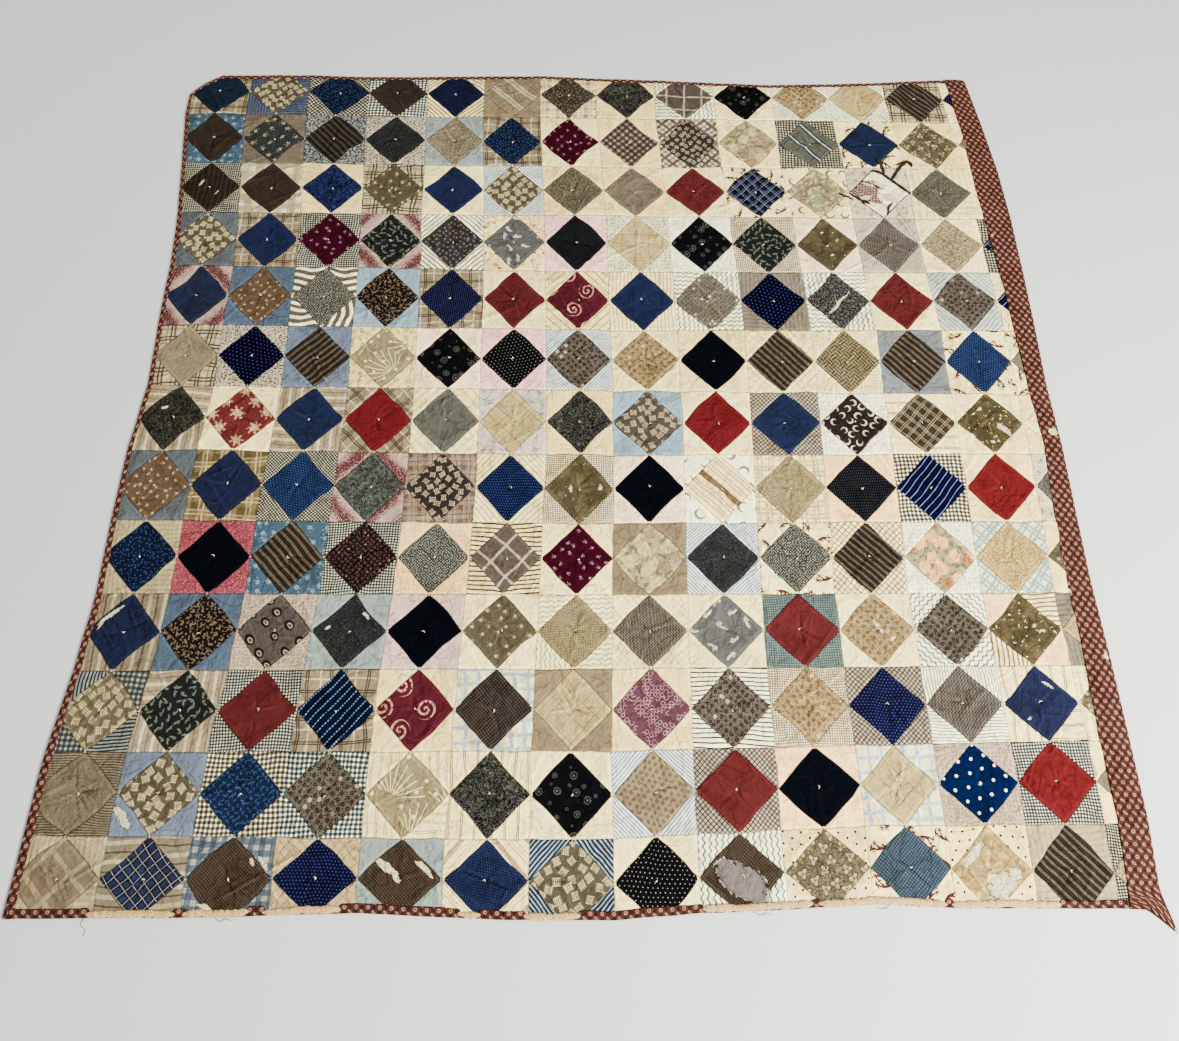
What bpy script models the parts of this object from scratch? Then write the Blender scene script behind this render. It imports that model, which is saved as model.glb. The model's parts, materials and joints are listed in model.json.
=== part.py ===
"""Old tied patchwork quilt, lying flat with its right-hand margin folded over onto the front.

The quilt has two cloth parts.  The backing is one printed sheet: it lies under the whole quilt,
turns up round the left, top and bottom edges as a narrow hem, and is carried round the fold on the
right and over the margin, where it shows as a wide band.  The quilted body is the patchwork top
tied through its wadding: one filled layer, pinched at each tie, that makes the same U-turn inside
the backing.  Metres, +Z up; the quilt lies on z = 0 with its longer side along X.
"""
import math

import bmesh
import bpy
import numpy as np

MM = 0.001

# Driving dimensions -------------------------------------------------------------------------------
BLOCK = 150 * MM            # pitch of the blocks, six inches less the seams
ROWS = 13                   # rows of blocks; the top and bottom ones are cut short by the edges
COLUMNS = 13                # whole columns; most of the fourteenth is under the folded margin
CLOTH = 1.2 * MM            # the printed backing
GAP = 0.3 * MM              # air between the backing and the body
CROWN = 3.9 * MM            # body, half way between ties
PINCH = 2.6 * MM            # body, at a tie
EDGE = 2.4 * MM             # body, where the hem presses it along the edges
HEM = 13.0 * MM             # width of the hem on the front
HEM_CUT = 13.8 * MM         # the end hems stop this far from the left edge, clear of the side hem
TAIL_WIDTH = 30 * MM        # the bottom corner of the fold is drawn out to a point from this width
TAIL_REACH = (20 * MM, -38 * MM)
TAIL_TIP = 0.3              # width left at the point, as a share of the base
TAIL_FLAT = 0.4             # height left at the point, as a share of the fold's height

HEM_RADIUS = (CLOTH + GAP + EDGE + GAP + CLOTH) / 2
LEAF_SPACE = 1.0 * MM       # between the two leaves of the body inside the fold
FOLD_RADIUS = CLOTH + GAP + CROWN + LEAF_SPACE / 2
CURL_RADIUS = 3.0 * MM      # the band's inner edge, turned down over the body
INSET = HEM_RADIUS + 0.5 * MM
HEM_STEPS = 5
FOLD_STEPS = 8
CURL_STEPS = 3
TAIL_STEPS = 3
CORNER = (0.25, 0.5)        # places across, in blocks, that the rounded corner needs

# The seams between rows, from the top edge (0) to the bottom edge (13).  Old piecing is uneven:
# each column of the table says how far, in millimetres, the seam strays to the right at that
# column seam, or gives the place of the band's inner edge and of the fold.
SEAM_COLUMNS = ("seam", "col_0", "col_4", "col_7", "col_10", "col_13", "band", "fold")
SEAMS = (
    (0, -22, -14, -30, -22, -28, 1944, 1996),
    (1, -22, -11, -27, -20, -16, 1959, 2015),
    (2, -5, -6, -17, -14, 4, 1964, 2030),
    (3, 13, -1, -8, -4, 2, 1971, 2036),
    (4, 22, 6, -4, 4, 5, 1981, 2036),
    (5, 23, 10, 0, 11, 14, 1983, 2034),
    (6, 29, 14, 3, 10, 11, 1988, 2030),
    (7, 15, 14, 3, 7, 10, 1995, 2034),
    (8, 12, 10, 0, 5, 4, 1984, 2031),
    (9, 15, 5, -4, -2, 0, 1979, 2029),
    (10, 3, -7, -6, 0, 2, 1982, 2033),
    (11, -16, -14, -9, 3, 4, 1976, 2034),
    (12, -22, -16, -8, 5, 3, 1977, 2034),
    (13, -26, -17, -8, 5, -2, 1965, 2024),
)
STRAY_AT = (0, 4, 7, 10, 13)

# How far, in millimetres, each row seam lies above its even place at five column seams.
LIFT_COLUMNS = ("seam", "col_0", "col_4", "col_7", "col_10", "col_13")
LIFTS = (
    (0, 9, 7, 6, 6, 6), (1, 9, 7, 6, 6, 6), (2, 7, 5, 3, 6, 9), (3, 9, 8, 8, 8, 8),
    (4, 10, 4, -1, 2, 5), (5, 4, -2, -6, -3, 0), (6, 1, -4, -8, -10, -11), (7, 1, -5, -10, -6, -3),
    (8, -3, -8, -12, -8, -5), (9, -5, -7, -9, -7, -5), (10, -4, -3, -3, -1, 1),
    (11, 0, -2, -3, 5, 12), (12, 10, 2, -1, 17, 18), (13, 21, 25, 4, 33, 9),
)

# The trimmed top and bottom edges at column seams, in millimetres from the even top seam.  The
# first entries round off the top left corner, which is worn away across half a block.
TRIM_COLUMNS = ("column", "top", "bottom")
TRIMS = (
    (0, -86, -1921), (0.25, -42, -1921), (0.5, -14, -1920), (1, -13, -1920), (2, -11, -1922),
    (3, -14, -1919), (4, -12, -1917), (5, -8, -1925), (6, -4, -1930), (7, -10, -1931),
    (8, -14, -1922), (9, -20, -1917), (10, -26, -1910), (11, -20, -1916), (12, -13, -1919),
    (13, -2, -1920), (14, -8, -1924),
)


def column(table, names, name):
    """One named column of a table, in metres."""
    return np.array([row[names.index(name)] for row in table]) * MM


def seam_x(across, down):
    """X of column seam `across` at row seam `down`; both may fall between whole numbers."""
    stray = [np.interp(down, range(ROWS + 1), column(SEAMS, SEAM_COLUMNS, f"col_{c}")) for c in STRAY_AT]
    return BLOCK * across + np.interp(across, STRAY_AT, stray)


def seam_y(across, down):
    """Y of row seam `down` at column seam `across`."""
    lift = [np.interp(down, range(ROWS + 1), column(LIFTS, LIFT_COLUMNS, f"col_{c}")) for c in STRAY_AT]
    return -BLOCK * down + np.interp(across, STRAY_AT, lift)


def edge_x(name, down):
    """X of the band's inner edge or of the fold at row seam `down`."""
    return np.interp(down, range(ROWS + 1), column(SEAMS, SEAM_COLUMNS, name))


def trim_y(across, name):
    """Y of the trimmed top or bottom edge at column seam `across`."""
    return np.interp(across, [row[0] for row in TRIMS], column(TRIMS, TRIM_COLUMNS, name))


def laid_out(section, down, edge=""):
    """Points (x, y, z) of a section at row seam `down`, or along the trimmed top or bottom edge."""
    x, z = np.array(section).T
    seams = np.arange(COLUMNS + 2)
    across = np.interp(x, seam_x(seams, down), seams)
    y = trim_y(across, edge) if edge else seam_y(across, down)
    return np.column_stack([x, y, z])


def arc(centre, radius, first, last, steps):
    """Points on an arc in the (distance, height) plane, angles in degrees, without its first."""
    turns = np.radians(np.linspace(first, last, steps + 1)[1:])
    return [(centre[0] + radius * math.cos(t), centre[1] + radius * math.sin(t)) for t in turns]


def centre_of_plan():
    """The middle of the whole outline, tail included, which becomes the origin."""
    left = column(SEAMS, SEAM_COLUMNS, "col_0").min()
    right = max(column(SEAMS, SEAM_COLUMNS, "fold").max(), edge_x("fold", ROWS) + TAIL_REACH[0])
    top = column(TRIMS, TRIM_COLUMNS, "top").max()
    bottom = min(column(TRIMS, TRIM_COLUMNS, "bottom").min(),
                 trim_y(COLUMNS + 1, "bottom") + TAIL_REACH[1])
    return (left + right) / 2, (top + bottom) / 2


def sheet_object(name, points, kept, collection):
    """Object whose mesh is a grid carried to `points` (rows, columns, 3), with only `kept` faces."""
    rows, columns = points.shape[:2]
    shape = bmesh.new()
    grid_place = shape.verts.layers.int.new("grid_place")
    bmesh.ops.create_grid(shape, x_segments=columns - 1, y_segments=rows - 1, size=0.5)
    for vertex in shape.verts:
        i = round((vertex.co.x + 0.5) * (columns - 1))
        j = round((vertex.co.y + 0.5) * (rows - 1))
        vertex[grid_place] = j * columns + i
        vertex.co = points[j, i]
    dropped = []
    for face in shape.faces:
        j, i = divmod(min(vertex[grid_place] for vertex in face.verts), columns)
        if not kept[j, i]:
            dropped.append(face)
    bmesh.ops.delete(shape, geom=dropped, context="FACES")
    bmesh.ops.reverse_faces(shape, faces=shape.faces[:])
    mesh = bpy.data.meshes.new(name)
    shape.to_mesh(mesh)
    shape.free()
    mesh.shade_smooth()
    item = bpy.data.objects.new(name, mesh)
    collection.objects.link(item)
    return item


def thicken(item, thickness, group=""):
    """Give a sheet its thickness on the side away from its outer face."""
    solid = item.modifiers.new("thickness", "SOLIDIFY")
    solid.thickness = thickness
    solid.offset = -1
    solid.use_even_offset = True
    solid.use_rim = True
    solid.vertex_group = group


def material(name, colour, roughness):
    """A plain Principled finish."""
    finish = bpy.data.materials.new(name)
    finish.use_nodes = True
    shader = finish.node_tree.nodes["Principled BSDF"]
    shader.inputs["Base Color"].default_value = (*colour, 1)
    shader.inputs["Roughness"].default_value = roughness
    shader.inputs["Metallic"].default_value = 0
    return finish


def backing_section(down, columns):
    """(x, z) along the backing's outer face, from the side hem, under the quilt and over the fold."""
    left = seam_x(0, down)
    fold = edge_x("fold", down) - FOLD_RADIUS
    curl = edge_x("band", down) + CURL_RADIUS
    high = 2 * FOLD_RADIUS
    path = [(left + HEM, 2 * HEM_RADIUS), (left + HEM_RADIUS, 2 * HEM_RADIUS)]
    path += arc((left + HEM_RADIUS, HEM_RADIUS), HEM_RADIUS, 90, 270, HEM_STEPS)
    path += [(left + HEM_CUT, 0)]
    path += [(seam_x(c, down), 0) for c in columns]
    path += [(fold + FOLD_RADIUS - TAIL_WIDTH, 0), (fold, 0)]
    path += arc((fold, FOLD_RADIUS), FOLD_RADIUS, -90, 90, FOLD_STEPS)
    path += [(fold + FOLD_RADIUS - TAIL_WIDTH, high), (curl, high)]
    path += arc((curl, high - CURL_RADIUS), CURL_RADIUS, 90, 180, CURL_STEPS)
    return path


def hem_profile(sign):
    """(y offset, z) of the turned-up end hems, outwards from the edge: under, round and over."""
    turn = arc((HEM_RADIUS, HEM_RADIUS), HEM_RADIUS, -90, -270, HEM_STEPS)
    return [(sign * y, z) for y, z in turn + [(HEM, 2 * HEM_RADIUS)]]


def backing(collection):
    """The printed backing with its side hem, end hems, fold, band and drawn-out corner."""
    columns = [*CORNER, *range(1, COLUMNS + 1)]
    side = 2 + HEM_STEPS                           # points before the flat part begins
    flat = 1 + len(columns)                        # points of the flat part that carry end hems
    bottom = laid_out(backing_section(ROWS, columns), ROWS, "bottom")
    top = laid_out(backing_section(0, columns), 0, "top")
    near_bottom = bottom + [0, HEM_CUT, 0]
    near_top = top - [0, HEM_CUT, 0]
    plan = [laid_out(backing_section(down, columns), down) for down in range(ROWS - 1, 0, -1)]

    def end_hem(edge, sign):
        return [edge * [1, 1, 0] + [0, y, z] for y, z in hem_profile(sign)]

    tail_first = side + flat                       # columns of the fold that the tail takes in
    tail_last = tail_first + 1 + FOLD_STEPS + 1
    tip_x = bottom[:, 0].max()
    low_hem = end_hem(bottom, 1)
    for step in range(TAIL_STEPS):
        share = (step + 1) / TAIL_STEPS
        width = 1 - (1 - TAIL_TIP) * share
        height = 1 - (1 - TAIL_FLAT) * share
        row = low_hem[step]
        fold = slice(tail_first, tail_last + 1)
        row[fold, 0] = tip_x + (bottom[fold, 0] - tip_x) * width + TAIL_REACH[0] * share
        row[fold, 1] = bottom[fold, 1] + TAIL_REACH[1] * share
        row[fold, 2] = bottom[fold, 2] * height
    high_hem = end_hem(top, -1)
    bottom[side:side + flat, 1] += HEM_RADIUS      # the flat part ends where the turn begins
    top[side:side + flat, 1] -= HEM_RADIUS
    grid = np.array(low_hem[::-1] + [bottom, near_bottom, *plan, near_top, top] + high_hem)

    hem_rows = HEM_STEPS + 1
    kept = np.ones((grid.shape[0] - 1, grid.shape[1] - 1), bool)
    hem_bands = np.r_[0:hem_rows, kept.shape[0] - hem_rows:kept.shape[0]]
    kept[hem_bands] = False
    kept[np.ix_(hem_bands, np.arange(side, side + flat - 1))] = True
    kept[hem_rows - TAIL_STEPS:hem_rows, tail_first:tail_last] = True
    item = sheet_object("backing", grid, kept, collection)
    thicken(item, CLOTH)
    item.data.materials.append(material("printed_backing", (0.20, 0.06, 0.045), 0.9))
    return item


def body_section(down, halves):
    """(x, z) along the body's outer face, from the left edge to the free edge in the fold."""
    left = seam_x(0, down)
    fold = edge_x("fold", down) - FOLD_RADIUS
    radius = FOLD_RADIUS - CLOTH - GAP
    low = CLOTH + GAP
    path = [(left + INSET, low), (left + HEM_CUT, low)]
    path += [(seam_x(c, down), low) for c in halves]
    path += [(fold, low)]
    path += arc((fold, FOLD_RADIUS), radius, -90, 90, FOLD_STEPS)
    path += [(edge_x("band", down) + CURL_RADIUS + GAP, low + 2 * radius)]
    return path


def body(collection):
    """The patchwork top and wadding as one filled layer, pinched at the ties and at its edges."""
    halves = [CORNER[0], *(c / 2 for c in range(1, 2 * COLUMNS + 1))]
    low = laid_out(body_section(ROWS, halves), ROWS, "bottom")
    high = laid_out(body_section(0, halves), 0, "top")
    near_low = low + [0, HEM_CUT, 0]
    near_high = high - [0, HEM_CUT, 0]
    downs = [r / 2 for r in range(2 * ROWS - 2, 1, -1)]
    inner = [laid_out(body_section(down, halves), down) for down in downs]
    grid = np.array([low + [0, INSET, 0], near_low, (near_low + inner[0]) / 2, *inner,
                     (near_high + inner[-1]) / 2, near_high, high - [0, INSET, 0]])

    depth = np.full(grid.shape[:2], CROWN)
    depth[2:-2:2, 3:2 + len(halves):2] = PINCH
    depth[:2] = depth[-2:] = EDGE
    depth[:, :2] = EDGE
    depth[:, 2 + len(halves):] = np.minimum(depth[:, 2 + len(halves):], CROWN - GAP)
    item = sheet_object("quilted_body", grid, np.ones((grid.shape[0] - 1, grid.shape[1] - 1), bool), collection)

    order = [entry.value for entry in item.data.attributes["grid_place"].data]
    weights = (depth / CROWN).ravel()[order]
    group = item.vertex_groups.new(name="loft")
    for index, weight in enumerate(weights):
        group.add([index], weight, "REPLACE")
    thicken(item, CROWN, "loft")
    item.data.materials.append(material("patchwork_cotton", (0.62, 0.54, 0.40), 0.85))
    return item


def main():
    """Clear the scene and build the quilt about its own middle."""
    for item in list(bpy.data.objects):
        bpy.data.objects.remove(item)
    quilt = bpy.data.collections.new("patchwork_quilt")
    bpy.context.scene.collection.children.link(quilt)
    middle = centre_of_plan()
    for item in (backing(quilt), body(quilt)):
        item.location = (-middle[0], -middle[1], 0)
    bpy.context.view_layer.update()


main()
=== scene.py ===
# %% [markdown]
# # An old tied patchwork quilt
# The quilt is a stack of three layers, tied together through the middle of every block and laid
# flat: a patchwork top of thirteen rows of "square in a square" blocks, a thin wadding, and a
# printed backing that turns up round three sides as a hem.  Its fourth side is folded over onto
# the front, so there the backing shows as a wide band.  Each row of blocks is one piece here, as a
# maker sews it, and the hems, the band, the wadding and the ties are pieces of their own.

# %% Load the frame
import sys
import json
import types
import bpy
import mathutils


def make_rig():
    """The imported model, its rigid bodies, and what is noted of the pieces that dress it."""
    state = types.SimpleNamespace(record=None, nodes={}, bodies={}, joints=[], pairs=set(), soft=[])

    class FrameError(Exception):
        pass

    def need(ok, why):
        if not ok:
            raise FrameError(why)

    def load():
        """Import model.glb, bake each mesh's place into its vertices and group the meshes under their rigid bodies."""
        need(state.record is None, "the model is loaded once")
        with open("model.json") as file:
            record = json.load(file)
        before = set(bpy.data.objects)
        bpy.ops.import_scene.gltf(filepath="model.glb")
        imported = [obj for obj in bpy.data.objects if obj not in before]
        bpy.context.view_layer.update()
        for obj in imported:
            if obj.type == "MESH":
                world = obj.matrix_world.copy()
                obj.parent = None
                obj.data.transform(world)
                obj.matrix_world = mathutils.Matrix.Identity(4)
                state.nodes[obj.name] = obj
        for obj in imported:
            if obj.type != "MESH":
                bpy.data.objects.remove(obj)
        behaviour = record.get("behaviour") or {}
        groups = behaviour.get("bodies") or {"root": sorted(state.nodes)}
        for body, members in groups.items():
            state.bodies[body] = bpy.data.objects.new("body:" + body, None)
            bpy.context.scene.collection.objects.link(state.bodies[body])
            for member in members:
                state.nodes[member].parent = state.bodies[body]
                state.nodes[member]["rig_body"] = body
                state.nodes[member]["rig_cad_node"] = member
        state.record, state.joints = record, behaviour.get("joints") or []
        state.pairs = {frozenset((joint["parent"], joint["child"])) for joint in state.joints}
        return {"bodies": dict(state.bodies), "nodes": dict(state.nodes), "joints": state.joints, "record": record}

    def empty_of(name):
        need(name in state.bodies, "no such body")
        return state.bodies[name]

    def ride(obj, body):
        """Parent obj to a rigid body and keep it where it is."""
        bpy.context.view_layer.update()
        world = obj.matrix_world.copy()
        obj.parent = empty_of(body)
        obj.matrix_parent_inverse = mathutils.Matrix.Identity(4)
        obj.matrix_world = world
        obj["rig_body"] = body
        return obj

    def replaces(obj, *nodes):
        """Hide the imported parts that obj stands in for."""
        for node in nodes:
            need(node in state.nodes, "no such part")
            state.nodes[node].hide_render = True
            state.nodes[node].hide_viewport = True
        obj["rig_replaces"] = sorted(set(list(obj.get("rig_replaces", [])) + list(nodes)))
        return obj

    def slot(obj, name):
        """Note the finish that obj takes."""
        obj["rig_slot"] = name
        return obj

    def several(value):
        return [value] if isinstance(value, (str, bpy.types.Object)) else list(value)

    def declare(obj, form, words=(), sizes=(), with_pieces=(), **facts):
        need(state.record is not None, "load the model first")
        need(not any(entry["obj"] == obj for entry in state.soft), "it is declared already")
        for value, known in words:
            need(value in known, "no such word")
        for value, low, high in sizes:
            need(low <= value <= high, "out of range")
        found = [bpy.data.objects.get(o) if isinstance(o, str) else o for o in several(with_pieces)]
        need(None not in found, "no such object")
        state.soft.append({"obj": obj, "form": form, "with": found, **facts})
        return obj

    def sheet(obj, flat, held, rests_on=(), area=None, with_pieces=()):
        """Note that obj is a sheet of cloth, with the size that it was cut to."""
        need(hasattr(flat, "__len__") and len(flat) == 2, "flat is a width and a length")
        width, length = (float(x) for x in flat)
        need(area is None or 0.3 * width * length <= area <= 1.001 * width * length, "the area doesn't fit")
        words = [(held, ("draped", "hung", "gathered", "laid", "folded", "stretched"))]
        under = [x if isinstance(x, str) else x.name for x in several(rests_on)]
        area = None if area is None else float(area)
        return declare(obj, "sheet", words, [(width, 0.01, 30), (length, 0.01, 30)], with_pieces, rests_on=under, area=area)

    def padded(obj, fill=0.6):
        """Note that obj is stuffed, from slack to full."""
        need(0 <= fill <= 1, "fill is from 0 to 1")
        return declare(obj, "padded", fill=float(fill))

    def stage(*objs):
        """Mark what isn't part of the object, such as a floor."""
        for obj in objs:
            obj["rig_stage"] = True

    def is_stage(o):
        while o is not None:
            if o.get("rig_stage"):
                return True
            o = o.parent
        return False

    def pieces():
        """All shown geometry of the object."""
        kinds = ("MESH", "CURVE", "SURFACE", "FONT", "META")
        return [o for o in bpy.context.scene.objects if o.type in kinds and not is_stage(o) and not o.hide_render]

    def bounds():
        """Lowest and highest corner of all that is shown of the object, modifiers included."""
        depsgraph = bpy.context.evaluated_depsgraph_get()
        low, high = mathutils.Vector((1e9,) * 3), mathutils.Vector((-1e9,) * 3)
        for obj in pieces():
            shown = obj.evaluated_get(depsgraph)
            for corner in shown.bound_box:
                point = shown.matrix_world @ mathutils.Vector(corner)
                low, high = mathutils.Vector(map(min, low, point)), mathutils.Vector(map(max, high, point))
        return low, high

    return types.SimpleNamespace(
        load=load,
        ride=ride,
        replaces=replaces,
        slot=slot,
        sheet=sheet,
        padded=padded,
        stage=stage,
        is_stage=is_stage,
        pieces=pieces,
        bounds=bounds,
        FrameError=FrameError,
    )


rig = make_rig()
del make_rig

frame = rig.load()
cad_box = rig.bounds()

import json
import math

import bpy
import numpy as np

MM = 0.001
print("CAD box:", [[round(float(c), 4) for c in corner] for corner in cad_box])

# %% [markdown]
# ## The layout
# Old piecing is uneven, so the seams are not straight lines.  Small tables say how far each seam
# strays from an even grid of 150 mm blocks; between their entries the stray is read off a straight
# line.  A place on the quilt is then named by two numbers, how many blocks across and how many
# blocks down, and two functions turn them into x and y.

# %% The layout tables
BLOCK = 150 * MM
ROWS = COLUMNS = 13
CLOTH = 1.2 * MM            # the printed backing
LOW = 1.5 * MM              # where the wadded body begins
EDGE_TOP = 3.9 * MM         # top of the body under the hem
CROWN_TOP = 5.3 * MM        # top of the body half way between ties
HEM_HEIGHT = 5.4 * MM
FOLD_RADIUS = 5.9 * MM
TAIL_REACH = (20 * MM, -38 * MM)

# How far the column seams 0, 4, 7, 10 and 13 stray to the right at each row seam.
STRAY_AT = np.array([0, 4, 7, 10, 13])
STRAYS = MM * np.array([
    (-22, -14, -30, -22, -28), (-22, -11, -27, -20, -16), (-5, -6, -17, -14, 4),
    (13, -1, -8, -4, 2), (22, 6, -4, 4, 5), (23, 10, 0, 11, 14), (29, 14, 3, 10, 11),
    (15, 14, 3, 7, 10), (12, 10, 0, 5, 4), (15, 5, -4, -2, 0), (3, -7, -6, 0, 2),
    (-16, -14, -9, 3, 4), (-22, -16, -8, 5, 3), (-26, -17, -8, 5, -2)])
# The band's inner edge and the fold, at each row seam.
BAND_EDGE = MM * np.array([1944, 1959, 1964, 1971, 1981, 1983, 1988, 1995, 1984, 1979, 1982, 1976,
                           1977, 1965])
FOLD = MM * np.array([1996, 2015, 2030, 2036, 2036, 2034, 2030, 2034, 2031, 2029, 2033, 2034, 2034,
                      2024])
# How far the row seams lie above their even place at the same column seams.
LIFTS = MM * np.array([
    (9, 7, 6, 6, 6), (9, 7, 6, 6, 6), (7, 5, 3, 6, 9), (9, 8, 8, 8, 8), (10, 4, -1, 2, 5),
    (4, -2, -6, -3, 0), (1, -4, -8, -10, -11), (1, -5, -10, -6, -3), (-3, -8, -12, -8, -5),
    (-5, -7, -9, -7, -5), (-4, -3, -3, -1, 1), (0, -2, -3, 5, 12), (10, 2, -1, 17, 18),
    (21, 25, 4, 33, 9)])
# The trimmed top and bottom edges: places across, and how far each lies above the even top seam.
# The top left corner is worn round.
TOP_EDGE = ((0, 0.09, 0.25, 0.5, 1, 2, 3, 4, 5, 6, 7, 8, 9, 10, 11, 12, 13, 14),
            (-86, -63, -39, -14, -13, -11, -14, -12, -8, -4, -10, -14, -20, -26, -20, -13, -2, -8))
BOTTOM_EDGE = (range(15), (-1921, -1920, -1922, -1919, -1917, -1925, -1930, -1931, -1922, -1917,
                           -1910, -1916, -1919, -1920, -1924))
MIDDLE = (1009 * MM, -982 * MM)      # of the whole outline, which is the frame's origin


def read_off(table, at, across, down):
    """A table's value at any place: straight lines between its rows and between its columns."""
    down = np.clip(down, 0, ROWS)
    across = np.clip(across, at[0], at[-1])
    r = np.minimum(down.astype(int), ROWS - 1)
    c = np.minimum(np.searchsorted(at, across, "right") - 1, len(at) - 2)
    p, q = down - r, (across - at[c]) / (at[c + 1] - at[c])
    upper = (1 - q) * table[r, c] + q * table[r, c + 1]
    lower = (1 - q) * table[r + 1, c] + q * table[r + 1, c + 1]
    return (1 - p) * upper + p * lower


def seam_x(across, down):
    """X of a place: even blocks, plus the stray of the column seams."""
    return BLOCK * across + read_off(STRAYS, STRAY_AT, across, down) - MIDDLE[0]


def seam_y(across, down):
    """Y of a place: even blocks downwards, plus the lift of the row seams."""
    return -BLOCK * down + read_off(LIFTS, STRAY_AT, across, down) - MIDDLE[1]


def along(values, places, offset):
    """A single row of a table, read off between its entries."""
    return np.interp(places, np.arange(len(values)), values) - offset


def trimmed(edge, across):
    """Y of the trimmed top or bottom edge at places across."""
    return np.interp(across, edge[0], edge[1]) * MM - MIDDLE[1]


SEAMS = np.arange(COLUMNS + 2.0)


def across_at(x, down):
    """How many blocks across an x lies at row seam `down`: the column seams read backwards."""
    return np.interp(x, seam_x(SEAMS, down), SEAMS)


def trim_at(x, edge, down):
    """Y of the trimmed top or bottom edge at any x, from the column seams it lies between."""
    return trimmed(edge, across_at(x, down))


print("layout: blocks of", BLOCK, "m,", ROWS, "rows and", COLUMNS, "whole columns")

# %% [markdown]
# ## Chance, without surprises
# Hand work needs small accidents, but the script must give the same quilt each time.  All chance
# comes from generators with a fixed seed.  Smooth wandering is "value noise": random numbers on a
# coarse lattice, joined by a curve that is level at both ends.

# %% Seeded noise
def smooth(t, low=0.0, high=1.0):
    """0 below low, 1 above high, and 3t²-2t³ between, which is level at both ends."""
    t = np.clip((t - low) / (high - low), 0, 1)
    return t * t * (3 - 2 * t)


def wander(x, y, size, seed):
    """Value noise from -1 to 1 whose bumps are about `size` wide."""
    lattice = np.random.default_rng(seed).uniform(-1, 1, (256, 256))
    gx, gy = x / size + 97.3, y / size + 71.9
    ix, iy = np.floor(gx).astype(int), np.floor(gy).astype(int)
    p, q = smooth(gx - ix), smooth(gy - iy)
    def at(dx, dy):
        return lattice[(iy + dy) % 256, (ix + dx) % 256]
    return (1 - q) * ((1 - p) * at(0, 0) + p * at(1, 0)) + q * ((1 - p) * at(0, 1) + p * at(1, 1))


print("noise check:", round(float(wander(np.array([0.1]), np.array([0.2]), 0.05, 1)[0]), 4))

# %% [markdown]
# ## Meshes from arrays
# A mesh is three lists: points, the corners of each face, and what each corner or face carries,
# such as its place on the cloth.  numpy holds them as arrays, and `foreach_set` hands a whole
# array to Blender at once, which is far quicker than adding faces one by one.

# %% A mesh from arrays
def new_piece(name, points, parts, layers=None, looks=()):
    """An object from points (n, 3) and parts, a list of dictionaries of same-sided faces.

    Each part has `corners` (m, k) and may have `look` (m,), and (m, k, 2) arrays for the maps
    "cloth" (metres on the cloth), "block" (metres from the block's tie) and "OFBake" (0 to 1).
    layers are numbers carried by the points.
    """
    sizes = np.concatenate([np.full(len(p["corners"]), p["corners"].shape[1]) for p in parts])
    corners = np.concatenate([p["corners"].ravel() for p in parts])
    mesh = bpy.data.meshes.new(name)
    mesh.vertices.add(len(points))
    mesh.vertices.foreach_set("co", np.asarray(points, np.float32).ravel())
    mesh.loops.add(len(corners))
    mesh.loops.foreach_set("vertex_index", corners.astype(np.int32))
    mesh.polygons.add(len(sizes))
    mesh.polygons.foreach_set("loop_start", np.r_[0, np.cumsum(sizes)[:-1]].astype(np.int32))
    look = np.concatenate([np.broadcast_to(p.get("look", 0), len(p["corners"])) for p in parts])
    mesh.polygons.foreach_set("material_index", look.astype(np.int32))
    mesh.polygons.foreach_set("use_smooth", np.ones(len(sizes), bool))
    for key in ("cloth", "block", "OFBake"):
        if any(key in p for p in parts):
            flat = np.concatenate([p.get(key, np.zeros(p["corners"].shape + (2,))).reshape(-1, 2)
                                   for p in parts])
            mesh.uv_layers.new(name=key).uv.foreach_set("vector", flat.astype(np.float32).ravel())
    for key, values in (layers or {}).items():
        mesh.attributes.new(key, "FLOAT", "POINT").data.foreach_set("value", values.astype(np.float32))
    if any("tint" in p for p in parts):
        tint = np.concatenate([np.broadcast_to(p.get("tint", 0.5), len(p["corners"])) for p in parts])
        mesh.attributes.new("tint", "FLOAT", "FACE").data.foreach_set("value", tint.astype(np.float32))
    mesh.update(calc_edges=True)
    mesh.validate()
    piece = bpy.data.objects.new(name, mesh)
    bpy.context.scene.collection.objects.link(piece)
    for each in looks:
        mesh.materials.append(each)
    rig.ride(piece, "root")
    return piece


def grid_corners(rows, columns, wrap=False):
    """Corners (m, 4) of a grid's faces, whose points are numbered row by row.  Seen from the side
    where rows run down and columns run right, the faces look at the viewer; wrap joins the last
    column to the first."""
    j, i = np.meshgrid(np.arange(rows - 1), np.arange(columns if wrap else columns - 1), indexing="ij")
    a, b = j * columns + i, j * columns + (i + 1) % columns
    return np.stack([a, a + columns, b + columns, b], -1).reshape(-1, 4)


print("mesh helpers ready")

# %% [markdown]
# ## The lie of the top
# A tied quilt is thickest half way between its ties and pinched where each thread goes through.
# From every tie soft creases run outwards, pulled by the knot, and old washed cotton crumples along
# wandering lines.  Every seam is a shallow ditch with a low ridge beside it, where the seam
# allowance lies.  All of this is one height for every place on the quilt, so that neighbouring rows
# meet without a step.

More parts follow.
